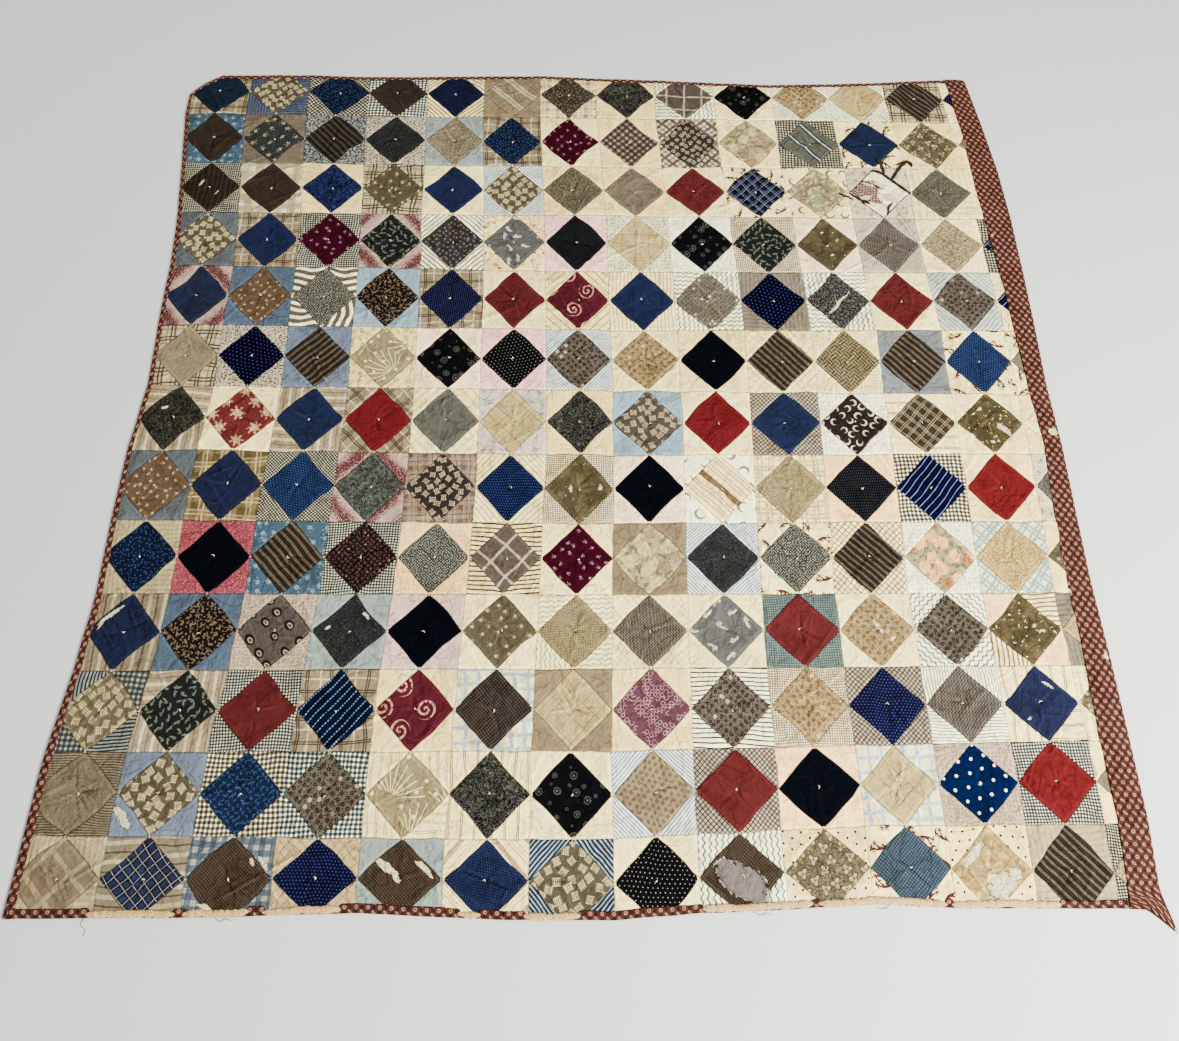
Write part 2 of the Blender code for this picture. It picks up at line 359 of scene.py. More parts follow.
# %% Heights of the top
CREASES = 6
chance = np.random.default_rng(1907)
crease_shape = (ROWS, COLUMNS + 1, CREASES)
crease_turn = (chance.uniform(-0.35, 0.35, crease_shape)
               + np.arange(CREASES) * 2 * math.pi / CREASES
               + chance.uniform(0, 6, crease_shape[:2])[..., None])
crease_rise = chance.uniform(-2.4, 2.1, crease_shape) * MM
crease_reach = chance.uniform(28, 68, crease_shape) * MM
crease_width = chance.uniform(2.6, 5.0, crease_shape) * MM
crease_bend = chance.uniform(-0.25, 0.25, crease_shape)

# Stronger pleats: row, column, direction in degrees, length and rise in millimetres.
PLEATS = [(7, 6, 45, 62, 2.2), (7, 6, 135, 60, -2.0), (7, 6, 225, 58, 2.0),
          (12, 1, 100, 66, -1.8), (12, 1, 200, 55, 1.8), (12, 1, 290, 60, -1.6),
          (12, 1, 30, 60, 1.5), (4, 8, 80, 60, 1.8), (4, 8, 10, 58, -1.6), (11, 7, 75, 62, 1.8),
          (11, 7, 5, 60, -1.6), (11, 7, 190, 60, 1.8), (12, 11, 110, 60, 1.8),
          (12, 11, 20, 58, -1.6), (10, 7, 60, 55, 1.6), (13, 3, 120, 50, -1.8),
          (13, 3, 310, 50, 1.8), (9, 8, 200, 60, 1.2), (6, 1, 70, 55, 1.4),
          (1, 7, 100, 45, 1.6), (13, 1, 140, 60, 1.2), (9, 6, 120, 40, -1.6),
          (2, 8, 60, 50, 1.2), (8, 7, 100, 55, 1.2), (11, 7, 120, 66, -2.4),
          (12, 11, 70, 62, 2.2), (12, 11, 250, 60, -2.0), (7, 6, 80, 62, 2.4),
          (5, 8, 200, 60, 1.8), (8, 2, 110, 56, 1.8), (8, 3, 250, 56, -1.8),
          (10, 8, 20, 60, 2.0), (10, 9, 140, 60, -1.8), (10, 10, 60, 60, 1.8),
          (13, 6, 160, 64, -2.2), (13, 6, 340, 64, -2.2), (13, 7, 135, 60, -2.0),
          (13, 11, 315, 62, -2.2), (2, 1, 100, 60, 1.6)]
for taken, (row, col, turn, length, rise) in enumerate(PLEATS):
    slot = (row - 1, col - 1, taken % CREASES)
    crease_turn[slot], crease_reach[slot] = math.radians(turn), length * MM
    crease_rise[slot], crease_width[slot], crease_bend[slot] = rise * MM, 2.6 * MM, 0.0

# Tears: row, column, right of and above the tie, length, width in millimetres, turn in degrees.
TEARS = [(3, 1, -22, 12, 26, 5, 60), (3, 1, 16, -18, 18, 4, 50), (3, 11, -8, 22, 34, 9, 10),
         (3, 11, -30, -8, 22, 8, 50), (3, 11, 24, 6, 20, 9, -40), (3, 12, -10, 26, 60, 12, -10),
         (3, 12, 30, -20, 52, 16, -30), (3, 12, -34, -16, 42, 14, 30),
         (3, 12, 10, -38, 34, 9, -20), (4, 11, -8, 34, 10, 6, 0), (4, 11, 26, 12, 14, 5, 60),
         (4, 11, 8, -30, 12, 6, 20), (5, 11, 3, -5, 92, 7, 45), (7, 1, -20, 22, 14, 7, 30),
         (7, 13, -16, 34, 12, 8, 20), (7, 13, 30, -16, 42, 12, -48),
         (7, 13, 2, -46, 14, 6, -20), (7, 13, -34, 22, 10, 5, 40), (8, 7, -18, 0, 16, 7, 80),
         (8, 7, 48, 2, 12, 8, 30), (10, 1, -32, 30, 56, 9, 40), (10, 1, -46, 14, 26, 7, 60),
         (10, 4, 30, 34, 20, 8, -40), (10, 4, -44, 6, 12, 6, 30), (10, 11, 4, 4, 44, 6, -60),
         (10, 11, 30, -20, 18, 6, 40), (10, 13, -30, 30, 10, 5, 0), (10, 13, 20, 6, 14, 6, 40),
         (10, 13, 36, -4, 12, 6, -20), (11, 13, 20, 34, 30, 6, -36),
         (11, 13, -28, -30, 14, 5, 40), (12, 2, -58, -44, 48, 17, -52),
         (13, 3, 36, 28, 17, 8, -60), (13, 3, 58, 26, 30, 9, -50),
         (13, 3, -28, -46, 34, 11, -30), (13, 5, -22, 20, 52, 17, -38),
         (13, 5, -8, 2, 30, 9, -70), (13, 5, 44, 18, 46, 10, -50), (13, 5, 34, 30, 20, 9, -30),
         (13, 9, -2, -8, 104, 52, -32), (13, 9, 16, -34, 60, 30, -30),
         (13, 9, -34, 22, 22, 8, -10), (13, 12, -33, 24, 62, 20, 45),
         (13, 12, 18, -26, 54, 42, 30), (13, 12, 46, -4, 28, 16, -45),
         (13, 12, -4, -14, 14, 7, 20)]

# Where a tear goes down to an older, greyer cover and not to the wadding.
LININGS = [(13, 9, -2, -8, 104, 52, -32), (13, 9, 16, -34, 60, 30, -30),
           (3, 11, 0, 0, 120, 100, 0)]


def torn(u, v, tears=TEARS):
    """1 inside a tear, falling through 0.5 at its edge: an oval distance round each place, taken
    from a place pushed about by noise, which makes the edge ragged."""
    found = np.zeros(u.shape)
    jag_x, jag_y = (MM * wander(u * BLOCK, v * BLOCK, 0.013, seed) for seed in (43, 44))
    for row, col, right, up, length, width, turn in tears:
        x = (u - col + 0.5) * BLOCK - right * MM + jag_x * min(4.5, width / 4)
        y = (row - 0.5 - v) * BLOCK - up * MM + jag_y * min(4.5, width / 4)
        c, s = math.cos(math.radians(turn)), math.sin(math.radians(turn))
        oval = np.hypot((c * x + s * y) / (length * MM / 2), (c * y - s * x) / (width * MM / 2))
        found = np.maximum(found, np.clip(1.5 - oval, 0, 1))
    return found


def seam_distance(u, v):
    """Metres to the nearest seam: a block's border, or |a| + |b| = 1/2 round its diamond."""
    a, b = np.abs(u - np.floor(u) - 0.5), np.abs(v - np.floor(v) - 0.5)
    diamond = np.abs(a + b - 0.5) / math.sqrt(2)
    return BLOCK * np.minimum(diamond, 0.5 - np.maximum(a, b))


def outline_distance(u, v, x, y):
    """Metres to the nearest trimmed edge, and metres in under the band (0 outside it)."""
    inside = np.minimum(x - seam_x(np.zeros_like(v), v), trimmed(TOP_EDGE, u) - y)
    inside = np.minimum(inside, y - trimmed(BOTTOM_EDGE, u))
    return inside, np.maximum(x - along(BAND_EDGE, v, MIDDLE[0]), 0)


def relief(u, v, x, y):
    """Height: the crown, less a pinch exp(-(r/35mm)²) round each tie and a narrow one at it, plus
    creases rise·exp(-(side/width)²) along straight lines from the tie, crumples along the zero
    lines of two noises, slow swells, and the ditch and ridge of the seams."""
    c = np.clip(np.floor(u).astype(int), 0, COLUMNS)
    r = np.clip(np.floor(v).astype(int), 0, ROWS - 1)
    px, py = (u - c - 0.5) * BLOCK, (r + 0.5 - v) * BLOCK
    away = np.hypot(px, py)
    lift = -0.9 * np.exp(-(away / 0.035) ** 2) - 1.1 * np.exp(-(away / 0.008) ** 2)
    creases = 0
    for k in range(CREASES):
        turn, rise, reach, width, bend = (t[r, c, k] for t in (crease_turn, crease_rise, crease_reach,
                                                               crease_width, crease_bend))
        ahead = px * np.cos(turn) + py * np.sin(turn)
        side = py * np.cos(turn) - px * np.sin(turn) + bend * ahead ** 2 / reach
        shape = smooth(ahead, 0.002, 0.012) * (1 - smooth(ahead, 0.35 * reach, reach))
        creases = creases + rise / MM * shape * np.exp(-(side / width) ** 2)
    crumple = 0
    for size, stretch, turn, strength, seed in ((0.075, 2.2, 0.5, 2.1, 11), (0.060, 2.6, 2.1, 1.7, 12),
                                                (0.042, 1.6, 1.2, 1.15, 13)):
        s, t = x * math.cos(turn) + y * math.sin(turn), y * math.cos(turn) - x * math.sin(turn)
        line = wander(s / stretch, t, size, seed)
        here = smooth(wander(x, y, 0.11, seed + 20), -0.4, 0.6)
        crumple = crumple + strength * np.exp(-(line / 0.10) ** 2) * here
    swell = 0.7 * wander(x, y, 0.24, 31) + 0.45 * wander(x, y, 0.08, 32) + 0.16 * wander(x, y, 0.02, 33)
    seam = seam_distance(u, v)
    inner = np.abs(px) + np.abs(py) < BLOCK / 2
    seams = -0.75 * np.exp(-(seam / 0.0022) ** 2) + 0.3 * inner * np.exp(-((seam - 0.0055) / 0.003) ** 2)
    seams = seams + 0.7 * wander(x, y, 0.013, 34) * np.exp(-(seam / 0.013) ** 2)
    hole = torn(u, v)
    frayed = -0.5 * smooth(hole, 0.45, 0.8) + 0.9 * smooth(hole, 0.5, 0.9) * wander(x, y, 0.009, 41)
    edge, under = outline_distance(u, v, x, y)
    free = smooth(edge, 0.011, 0.032) * (1 - 0.8 * smooth(under, 0, 0.02))
    full = EDGE_TOP + (CROWN_TOP - EDGE_TOP) * free
    return full + MM * free * (0.25 + lift + creases + crumple + swell + seams) + MM * frayed * free


print("relief: creases", crease_rise.size, "and tears", len(TEARS))

# %% [markdown]
# ## Uneven blocks
# Diamonds cut by hand bulge or draw in along their sides.  Each quarter of a block holds one side
# of its diamond, so a push that is strongest in the middle of the quarter and nothing on its
# borders bends that side and leaves the block's own seams alone.  A slower wander moves the seams.

# %% Hand piecing
bulge = chance.normal(0.2, 1.3, (ROWS, COLUMNS + 1, 2, 2)) * MM
for row, col, amount in ((12, 1, (6, 2, 9, 3)), (5, 9, (3, 3, 3, 3)), (13, 1, (4, 2, 5, 2)),
                         (10, 2, (0, 2, 1, 2)),
                         (1, 1, (6, 6, 2, 2)), (1, 7, (-5, -5, -3, -4)), (1, 8, (3, 4, -3, -4)),
                         (2, 2, (3, 3, 2, -7)),
                         (2, 3, (0, 6, 2, -5)), (2, 7, (4, -3, 2, -7)), (4, 7, (1, 6, 1, 1)),
                         (5, 1, (-12, 2, 2, 1)),
                         (3, 5, (-3, 2, 1, -3)), (7, 7, (-1, 5, -1, -5)), (11, 1, (3, 2, 3, 2)),
                         (13, 3, (4, 2, 7, 6)),
                         (9, 8, (1, 3, 4, 4)), (2, 10, (2, 2, 2, 2)), (7, 1, (2, 2, 0, -3)),
                         (1, 12, (2, 3, 3, 2))):
    bulge[row - 1, col - 1] = np.array(amount).reshape(2, 2) * MM


def pieced(u, v):
    """X and y of a place after hand piecing: outward push times 16·p(1-p)·q(1-q) in each quarter of
    a block, plus a wander of about 2 mm."""
    c = np.clip(np.floor(u).astype(int), 0, COLUMNS)
    r = np.clip(np.floor(v).astype(int), 0, ROWS - 1)
    a, b = 2 * (u - c), 2 * (v - r)
    right, down = (a >= 1).astype(int), (b >= 1).astype(int)
    p, q = a - right, b - down
    push = bulge[r, c, down, right] * 16 * p * (1 - p) * q * (1 - q) / math.sqrt(2)
    x, y = seam_x(u, v), seam_y(u, v)
    drift_x, drift_y = (1.8 * wander(x, y, 0.07, seed) + 1.1 * wander(x, y, 0.022, seed + 2)
                        for seed in (51, 52))
    moved_x = x + push * (2 * right - 1) + MM * drift_x
    moved_y = y - push * (2 * down - 1) + MM * drift_y
    return moved_x, moved_y


print("bulges from", round(bulge.min() / MM, 1), "to", round(bulge.max() / MM, 1), "mm")

# %% [markdown]
# ## A row of blocks
# A row is a closed slab: a fine grid for the top, a plain underside, and walls.  The grid has 44
# cells to a block, so a diamond's sides run exactly along the diagonals of cells.  Every cell is cut
# into two triangles along the diagonal that faces the right way, and each triangle is given to the
# patch it lies on.  The first and last rows are cut off along the trimmed edge: points beyond the
# cut are moved onto it, and faces that vanish by that are dropped.

# %% Cells of a row
CELLS = 44
LAST_CELLS = 20                     # the fourteenth column, as far as the fold
PATCHES = 5                         # a diamond, then corners: upper left, upper right, lower ones
patch_turn = chance.uniform(-4, 4, (ROWS, COLUMNS + 1, PATCHES))
patch_shift = chance.uniform(-9, 9, (ROWS, COLUMNS + 1, PATCHES, 2))
patch_tint = chance.uniform(0, 1, (ROWS, COLUMNS + 1, PATCHES))
for row, col, shift in ((1, 9, 23), (9, 6, 4), (8, 9, 0)):     # diamonds cut with the figure centred
    patch_shift[row - 1, col - 1, 0] = shift * MM
blunt_tip = chance.uniform(0, 1, (ROWS, COLUMNS + 1, 4)) < 0.55


def row_top(row):
    """The top of a row: places (u, v), corners of its triangles, and rows of points after the cut."""
    i = np.arange(1, COLUMNS * CELLS + LAST_CELLS + 1)
    j = np.arange(CELLS + 1)
    u, v = np.meshgrid(i / CELLS, row + j / CELLS)
    x, y = pieced(u, v)
    point = np.arange(u.size).reshape(u.shape)
    tuck = 3.2 * MM                                     # how far the raw edge lies inside the hem
    if row == 0:
        cut = trimmed(TOP_EDGE, u[0]) - tuck
        first = np.maximum((y > cut).sum(0) - 1, 0)
        point = point[np.maximum(j[:, None], first), np.arange(len(i))]
        y = np.minimum(y, cut)
    if row == ROWS - 1:
        cut = trimmed(BOTTOM_EDGE, u[0]) + tuck
        last = np.minimum(CELLS + 1 - (y < cut).sum(0), CELLS)
        point = point[np.minimum(j[:, None], last), np.arange(len(i))]
        y = np.maximum(y, cut)
    a, b, c, d = point[:-1, :-1], point[:-1, 1:], point[1:, 1:], point[1:, :-1]
    half = CELLS // 2
    left, high = (i[:-1] % CELLS < half)[None, :], (j[:-1] < half)[:, None]
    rising = left == high                               # the diagonal b-d
    first = np.stack([np.where(rising, x_, y_) for x_, y_ in ((a, a), (d, d), (b, c))], -1)
    second = np.stack([np.where(rising, x_, y_) for x_, y_ in ((b, a), (d, c), (c, b))], -1)
    corners = np.concatenate([first.reshape(-1, 3), second.reshape(-1, 3)])
    whole = ((corners[:, 0] != corners[:, 1]) & (corners[:, 1] != corners[:, 2])
             & (corners[:, 2] != corners[:, 0]))
    return u, v, x, y, corners[whole], point


def patch_of(u, v, row):
    """Column and patch number of places: 0 on the diamond, 1 to 4 on the corners.  Some of the
    diamond's tips are blunt, because the seam took them up."""
    col = np.minimum(np.floor(u).astype(int), COLUMNS)
    a, b = u - col - 0.5, v - row - 0.5
    corner = 1 + (a > 0) + 2 * (b > 0)
    tip = np.where(np.abs(a) > np.abs(b), (a > 0) * 1, 2 + (b > 0))
    short = blunt_tip[row, col, tip] & (np.maximum(np.abs(a), np.abs(b)) > 0.5 - 1.1 / CELLS)
    return col, np.where((np.abs(a) + np.abs(b) < 0.5) & ~short, 0, corner)


def row_piece(row, looks, look_of, turn_of):
    """One row as a closed slab.  look_of[col, patch] numbers its materials; turn_of gives the lie of
    each patch's print in degrees."""
    u, v, x, y, corners, point = row_top(row)
    z = relief(u, v, x, y)
    top = np.stack([x, y, z], -1).reshape(-1, 3)
    mid_u, mid_v = u.ravel()[corners].mean(1), v.ravel()[corners].mean(1)
    col, patch = patch_of(mid_u, mid_v, row)
    centre = np.stack(pieced(np.arange(COLUMNS + 1) + 0.5, np.full(COLUMNS + 1, row + 0.5)), -1)
    from_tie = top[corners][:, :, :2] - centre[col][:, None]
    turn = np.radians(turn_of[col, patch] + patch_turn[row, col, patch])
    c, s = np.cos(turn)[:, None], np.sin(turn)[:, None]
    eased = np.stack([2.2 * MM * wander(top[:, 0], top[:, 1], 0.034, seed)
                      + 0.6 * MM * wander(top[:, 0], top[:, 1], 0.014, seed + 2)
                      for seed in (61, 62)], -1)
    drawn = from_tie + eased[corners]
    cloth = np.stack([c * drawn[..., 0] + s * drawn[..., 1],
                      c * drawn[..., 1] - s * drawn[..., 0]], -1) + patch_shift[row, col, patch][:, None]
    places = np.stack([u.ravel()[corners] - col[:, None], v.ravel()[corners] - row], -1)
    cell = np.stack([col % 4, col // 4], -1)[:, None]
    parts = [dict(corners=corners, look=look_of[col, patch], cloth=cloth, block=from_tie,
                  OFBake=(cell + 0.01 + 0.98 * places) / 4, tint=patch_tint[row, col, patch])]

    upper, lower = point[0], point[-1]
    across = np.arange(len(upper))
    floor = np.concatenate([top[upper], top[lower]]) * [1, 1, 0] + [0, 0, LOW]
    base_upper, base_lower = len(top) + across, len(top) + len(upper) + across
    share = (across / len(upper))[:-1]
    step = 1 / len(upper)
    wide = np.stack([share, share, share + step, share + step], -1)
    parts.append(dict(
        corners=np.stack([base_lower[:-1], base_upper[:-1], base_upper[1:], base_lower[1:]], -1),
        look=look_of[0, 1],
        OFBake=np.stack([0.51 + 0.23 * wide, 0.76 + 0.11 * np.array([0.0, 1, 1, 0]) + 0 * wide], -1)))
    for side, (rim, base) in enumerate(((upper, base_upper), (lower, base_lower))):
        wall = [rim[:-1], rim[1:], base[1:], base[:-1]]
        line = np.stack([wide[:, 0], wide[:, 2], wide[:, 2], wide[:, 0]], -1) * 14
        lap = np.floor(line[:, :1])
        local = 0.76 + 0.22 * (line - lap) / 1.1
        raised = 0.88 + 0.11 * (lap + 14 * side + np.array([0, 0, 0.7, 0.7])) / 28
        ring = np.stack(wall if side == 0 else wall[::-1], -1)
        parts.append(dict(corners=ring, look=look_of[0, 1],
                          OFBake=np.stack([local, raised], -1) if side == 0
                          else np.stack([local, raised], -1)[:, ::-1]))
    for side, edge, low, high in ((0, 0, base_lower[0], base_upper[0]),
                                  (1, -1, base_lower[-1], base_upper[-1])):
        rim = point[:, edge]
        rim = rim[np.r_[True, rim[1:] != rim[:-1]]]
        ring = np.r_[rim, low, high] if side == 1 else np.r_[rim[::-1], high, low]
        turn = np.linspace(0, 2 * math.pi, len(ring), endpoint=False)
        spot = np.array([0.54 + 0.04 * side, 0.93]) + 0.015 * np.stack([np.cos(turn), np.sin(turn)], -1)
        parts.append(dict(corners=ring[None], look=look_of[0, 1], OFBake=spot[None]))

    points = np.concatenate([top, floor])
    used = np.zeros(len(points), bool)
    for part in parts:
        used[part["corners"]] = True
    renumber = np.cumsum(used) - 1
    for part in parts:
        part["corners"] = renumber[part["corners"]]
    base_count = len(floor)
    # fold: how far a point lies below the mean of its four neighbours.  The finish paints shade by it in creases and a
    # highlight on ridges.
    round_it = np.pad(z, 1, mode="edge")
    fold = (round_it[:-2, 1:-1] + round_it[2:, 1:-1] + round_it[1:-1, :-2] + round_it[1:-1, 2:]) / 4 - z
    layers = {"seam": np.r_[seam_distance(u, v).ravel(), np.full(base_count, 0.05)][used],
              "fold": np.r_[np.clip(fold / MM, -1, 1).ravel(), np.zeros(base_count)][used],
              "torn": np.r_[torn(u, v).ravel(), np.zeros(base_count)][used],
              "lining": np.r_[torn(u, v, LININGS).ravel(), np.zeros(base_count)][used]}
    return new_piece(f"row_{row + 1:02d}", points[used], parts, layers, looks)


# %% [markdown]
# ## Writing finishes as sums
# A material is a graph of nodes, but a pattern is easier to read as arithmetic.  The class below
# wraps one output socket, so that `x * 2 + 1` adds the two Math nodes that work it out.
# Comparisons are soft: an edge that takes a third of a millimetre to change looks woven, not cut.

# %% Sockets with arithmetic
class Value:
    """One number that varies over a surface, as the output socket of a node."""

    def __init__(self, look, socket):
        self.look, self.socket = look, socket

    def maths(self, operation, *others, swap=False):
        terms = (others[0], self) if swap else (self, *others)
        return self.look.node("ShaderNodeMath", {"operation": operation}, dict(enumerate(terms)))

    def __rsub__(self, other):
        return self.maths("SUBTRACT", other, swap=True)

    def over(self, limit, soft=0.35):
        """1 where this is above limit, with a soft edge."""
        return self.ramp(limit - soft, limit + soft)

    def under(self, limit, soft=0.35):
        """1 where this is below limit, with a soft edge."""
        return self.ramp(limit + soft, limit - soft)

    def ramp(self, low, high):
        """0 at low, 1 at high, smooth between."""
        return self.look.node("ShaderNodeMapRange", {"interpolation_type": "SMOOTHSTEP"},
                              {"Value": self, "From Min": low, "From Max": high})


# Every other sum is the Math node of the same name.
for name, operation in dict(
        __add__="ADD", __radd__="ADD", __sub__="SUBTRACT", __mul__="MULTIPLY", __rmul__="MULTIPLY",
        __truediv__="DIVIDE", __pow__="POWER", __mod__="FLOORED_MODULO", __abs__="ABSOLUTE",
        floor="FLOOR", sin="SINE", cos="COSINE", most="MAXIMUM").items():
    setattr(Value, name, lambda self, *others, of=operation: self.maths(of, *others))


def length(x, y):
    return (x * x + y * y) ** 0.5


class Look:
    """A material being made.  x and y are millimetres on the patch's own cloth."""

    def __init__(self, name, shared=False):
        if shared:
            self.tree = bpy.data.node_groups.new(name, "ShaderNodeTree")
        else:
            self.material = bpy.data.materials.new(name)
            self.material.use_nodes = True
            self.tree = self.material.node_tree
            self.shader = self.tree.nodes["Principled BSDF"]
        place = self.node("ShaderNodeUVMap", {"uv_map": "cloth"}, out="UV")
        self.x, self.y = (self.split(place, axis) * 1000 for axis in "XY")
        self.ground = self.node("ShaderNodeTexCoord", out="Object")

    def node(self, kind, settings=None, sockets=None, out=0):
        """Add a node: settings first, then values or links of its sockets; gives one output."""
        made = self.tree.nodes.new(kind)
        for key, value in (settings or {}).items():
            setattr(made, key, value)
        for key, value in (sockets or {}).items():
            socket = made.inputs[key]
            if isinstance(value, Value):
                self.tree.links.new(value.socket, socket)
            elif isinstance(value, tuple) and len(value) == 3 and socket.type == "RGBA":
                socket.default_value = (*value, 1)
            else:
                socket.default_value = value
        return None if out is None else Value(self, made.outputs[out])

    def split(self, vector, axis):
        return self.node("ShaderNodeSeparateXYZ", sockets={"Vector": vector}, out=axis)

    def vector(self, x, y):
        return self.node("ShaderNodeCombineXYZ", sockets={"X": x, "Y": y})

    def attribute(self, name):
        return self.node("ShaderNodeAttribute", {"attribute_name": name}, out="Fac")

    def mix(self, share, first, second, blend="MIX"):
        """Colour: first where share is 0, second where it is 1."""
        return self.node("ShaderNodeMix", {"data_type": "RGBA", "blend_type": blend},
                         {0: share, 6: first, 7: second}, out=2)

    def noise(self, x, y, size, detail=2.0, rough=0.5, distort=0.0):
        """Cloudy noise from 0 to 1 whose clouds are about `size` across, in units of x and y."""
        return self.node("ShaderNodeTexNoise", {"noise_dimensions": "2D"},
                         {"Vector": self.vector(x, y), "Scale": 1 / size, "Detail": detail,
                          "Roughness": rough, "Distortion": distort}, out=0)

    def spots(self, pitch, scatter=0.5):
        """Scattered places, one to a cell: x and y from the nearest, and its two random numbers."""
        place = self.node("ShaderNodeTexVoronoi", {"voronoi_dimensions": "2D"},
                          {"Vector": self.vector(self.x, self.y), "Scale": 1 / pitch,
                           "Randomness": scatter}, out="Position")
        colour = Value(self, place.socket.node.outputs["Color"])
        red = self.node("ShaderNodeSeparateColor", sockets={0: colour})
        return (self.x - self.split(place, "X"), self.y - self.split(place, "Y"),
                red, Value(self, red.socket.node.outputs[1]))

    def turned(self, x, y, turn):
        """x and y in axes turned by an angle in radians."""
        c, s = (turn.cos(), turn.sin()) if isinstance(turn, Value) else (math.cos(turn),
                                                                         math.sin(turn))
        return x * c + y * s, y * c - x * s

    def thrown(self, pitch, scatter, size=None):
        """x and y from the nearest scattered place in axes of its own, and a random number."""
        x, y, a, b = self.spots(pitch, scatter)
        if size:
            x, y = x / size, y / size
        return *self.turned(x, y, a * 6.28), b

    def repeat(self, pitch, tall, stagger=0.0):
        """x and y from the middle of the cell of a printed repeat, alternate rows shifted."""
        row = (self.y / tall).floor()
        along_row = self.x / pitch + (row % 2) * stagger
        return (along_row - along_row.floor() - 0.5) * pitch, (self.y / tall - row - 0.5) * tall

    def wave(self, value, pitch):
        """A sine from 0 to 1 once every pitch."""
        return (value * (2 * math.pi / pitch)).sin() * 0.5 + 0.5


print("looks can be written as sums")

# %% [markdown]
# ## Dyes
# A dye is written as the colour it should show, in hexadecimal.  The view's film curve darkens
# shadows and holds back highlights, so the cloth's own colour is worked out backwards from it.

# %% Dyes
STUDIO = 4.0                # how bright a white cloth is under the lights


def dye(shown):
    """The share of light a cotton must reflect to show as a screen colour like "#7a2226": for each
    c from 0 to 1, 0.17·c^1.08 / (1.02-c)^1.47 undoes the film curve, and 0.9·(1 - e^(-light/0.9))
    keeps the palest under 90%."""
    light = [0.17 * (c / 255) ** 1.08 / (1.02 - c / 255) ** 1.47 for c in bytes.fromhex(shown[1:])]
    return tuple(0.9 * (1 - math.exp(-each / (0.9 * STUDIO))) for each in light)


def entries(table):
    """The entries of a text table, as lists of words.  Bars and line ends part them."""
    lines = [line for line in table.splitlines() if not line.startswith("# ")]
    return [entry.split() for entry in "|".join(lines).split("|") if entry.strip()]


DYES = {name: dye(shown) for name, shown in entries("""
BLACK #0c0c0e | INK #05070f | NAVY #0c0c32 | DENIM #7c8ea0 | PERIWINKLE #a0a8b6 | SKY #bcccd0
RED #7a2226 | SCARLET #922125 | PINK #f0d6ce | BLUSH #f6ead8 | PEACH #f6e4c4 | LILAC #e2d6ce
WHITE #f6f3e2 | IVORY #f4ecce | CREAM #f0e6c4 | TAN #b8a888 | SAND #d4c79e | DARK #2e241e
BATTING #f2eede
""")}
print("dyes mixed:", len(DYES))

# %% [markdown]
# ## Printed and woven cottons
# A scrap quilt is a collection of everyday prints: pin dots, stripes, ginghams, plaids, sprigs
# and scribbles.  Each kind is a function that draws its figure from x and y in millimetres on the
# cloth, so one kind serves many fabrics in different colours and sizes.  Regular prints repeat in
# cells; scattered ones use the cells of a Voronoi pattern, which also give each motif its own
# random turn.

# %% Stripes and checks
def printed(kind):
    """A print of one figure on its ground, from the function that draws the figure."""
    return lambda c, ground, line, *sizes: c.mix(kind(c, *sizes), ground, line)


def lines(value, pitch, width, soft=0.3):
    """1 on lines of this width, one every pitch, at right angles to the value."""
    return (abs((value / pitch) % 1 - 0.5) * pitch).under(width / 2, soft)


def plain(c, ground):
    return ground


def edged(c, ground, edge, line, pitch=13.6, wide=7.0, narrow=1.2):
    """Wide stripes with a narrow line along the middle of each."""
    return c.mix(lines(c.x, pitch, narrow), c.mix(lines(c.x, pitch, wide), ground, edge), line)


def stripes(c, ground, line, pitch=8, width=3, second=None, narrow=1.0):
    """Lines along the cloth, with a narrower second line half way between them."""
    colour = c.mix(lines(c.x, pitch, width), ground, line)
    return c.mix(lines(c.x + pitch / 2, pitch, narrow), colour, second) if second else colour


@printed
def banded(c, pitch=62, band=9.5, fine=7.2):
    """A broad band in every repeat, and narrow lines in the rest of it."""
    off = abs((c.x / pitch + 0.5) % 1 - 0.5) * pitch
    return (lines(off, fine, 1.7) * off.over(band * 1.25, 0.2)).most(off.under(band / 2, 0.3))


@printed
def shirting(c, pitch=14, gap=2.4, width=0.8):
    """Pairs of fine lines, as on shirt cotton."""
    return lines(c.x, pitch, width).most(lines(c.x + gap, pitch, width))


@printed
def gingham(c, pitch=8, depth=1.0):
    """Half-wide bands both ways: light, mostly dark where one lies, dark where two cross."""
    bare = 1 - (lines(c.x, pitch, pitch * 0.54, 0.3) + lines(c.y, pitch, pitch * 0.54, 0.3)) * 0.5
    return (1 - bare * bare * bare) * depth


def both_ways(c, shift, pitch, width):
    """Lines along and across the cloth."""
    return lines(c.x + shift, pitch, width).most(lines(c.y + shift, pitch, width))


def plaid(c, ground, broad, fine, pitch=30, band=0.4, line=0.9, depth=0.6, edges=0.7):
    """Broad half-clear bands both ways, with a fine line in every gap and beside every band."""
    bands = lines(c.x, pitch, pitch * band, 0.5) + lines(c.y, pitch, pitch * band, 0.5)
    beside = both_ways(c, pitch * (band / 2 + 0.07), pitch, line * 0.7)
    thin = both_ways(c, pitch / 2, pitch, line).most(beside * edges)
    return c.mix(thin, c.mix(bands * (0.5 * depth), ground, broad), fine)


def windowpane(c, ground, line, pitch=24, width=2.0, gap=0.0, second=None):
    """Single or double lines both ways, and paler ones half way between them."""
    if second:
        ground = c.mix(both_ways(c, pitch / 2, pitch, min(width * 1.3, 3)) * 0.8, ground, second)
    both = both_ways(c, 0, pitch, width)
    return c.mix((both.most(both_ways(c, gap, pitch, width)) if gap else both) * 0.9, ground, line)


@printed
def wavy(c, pitch=8, width=2.0, swing=1.4, run=14):
    """Lines pushed to and fro by a sine along their run."""
    return lines(c.x + (c.y * (2 * math.pi / run)).sin() * swing, pitch, width)


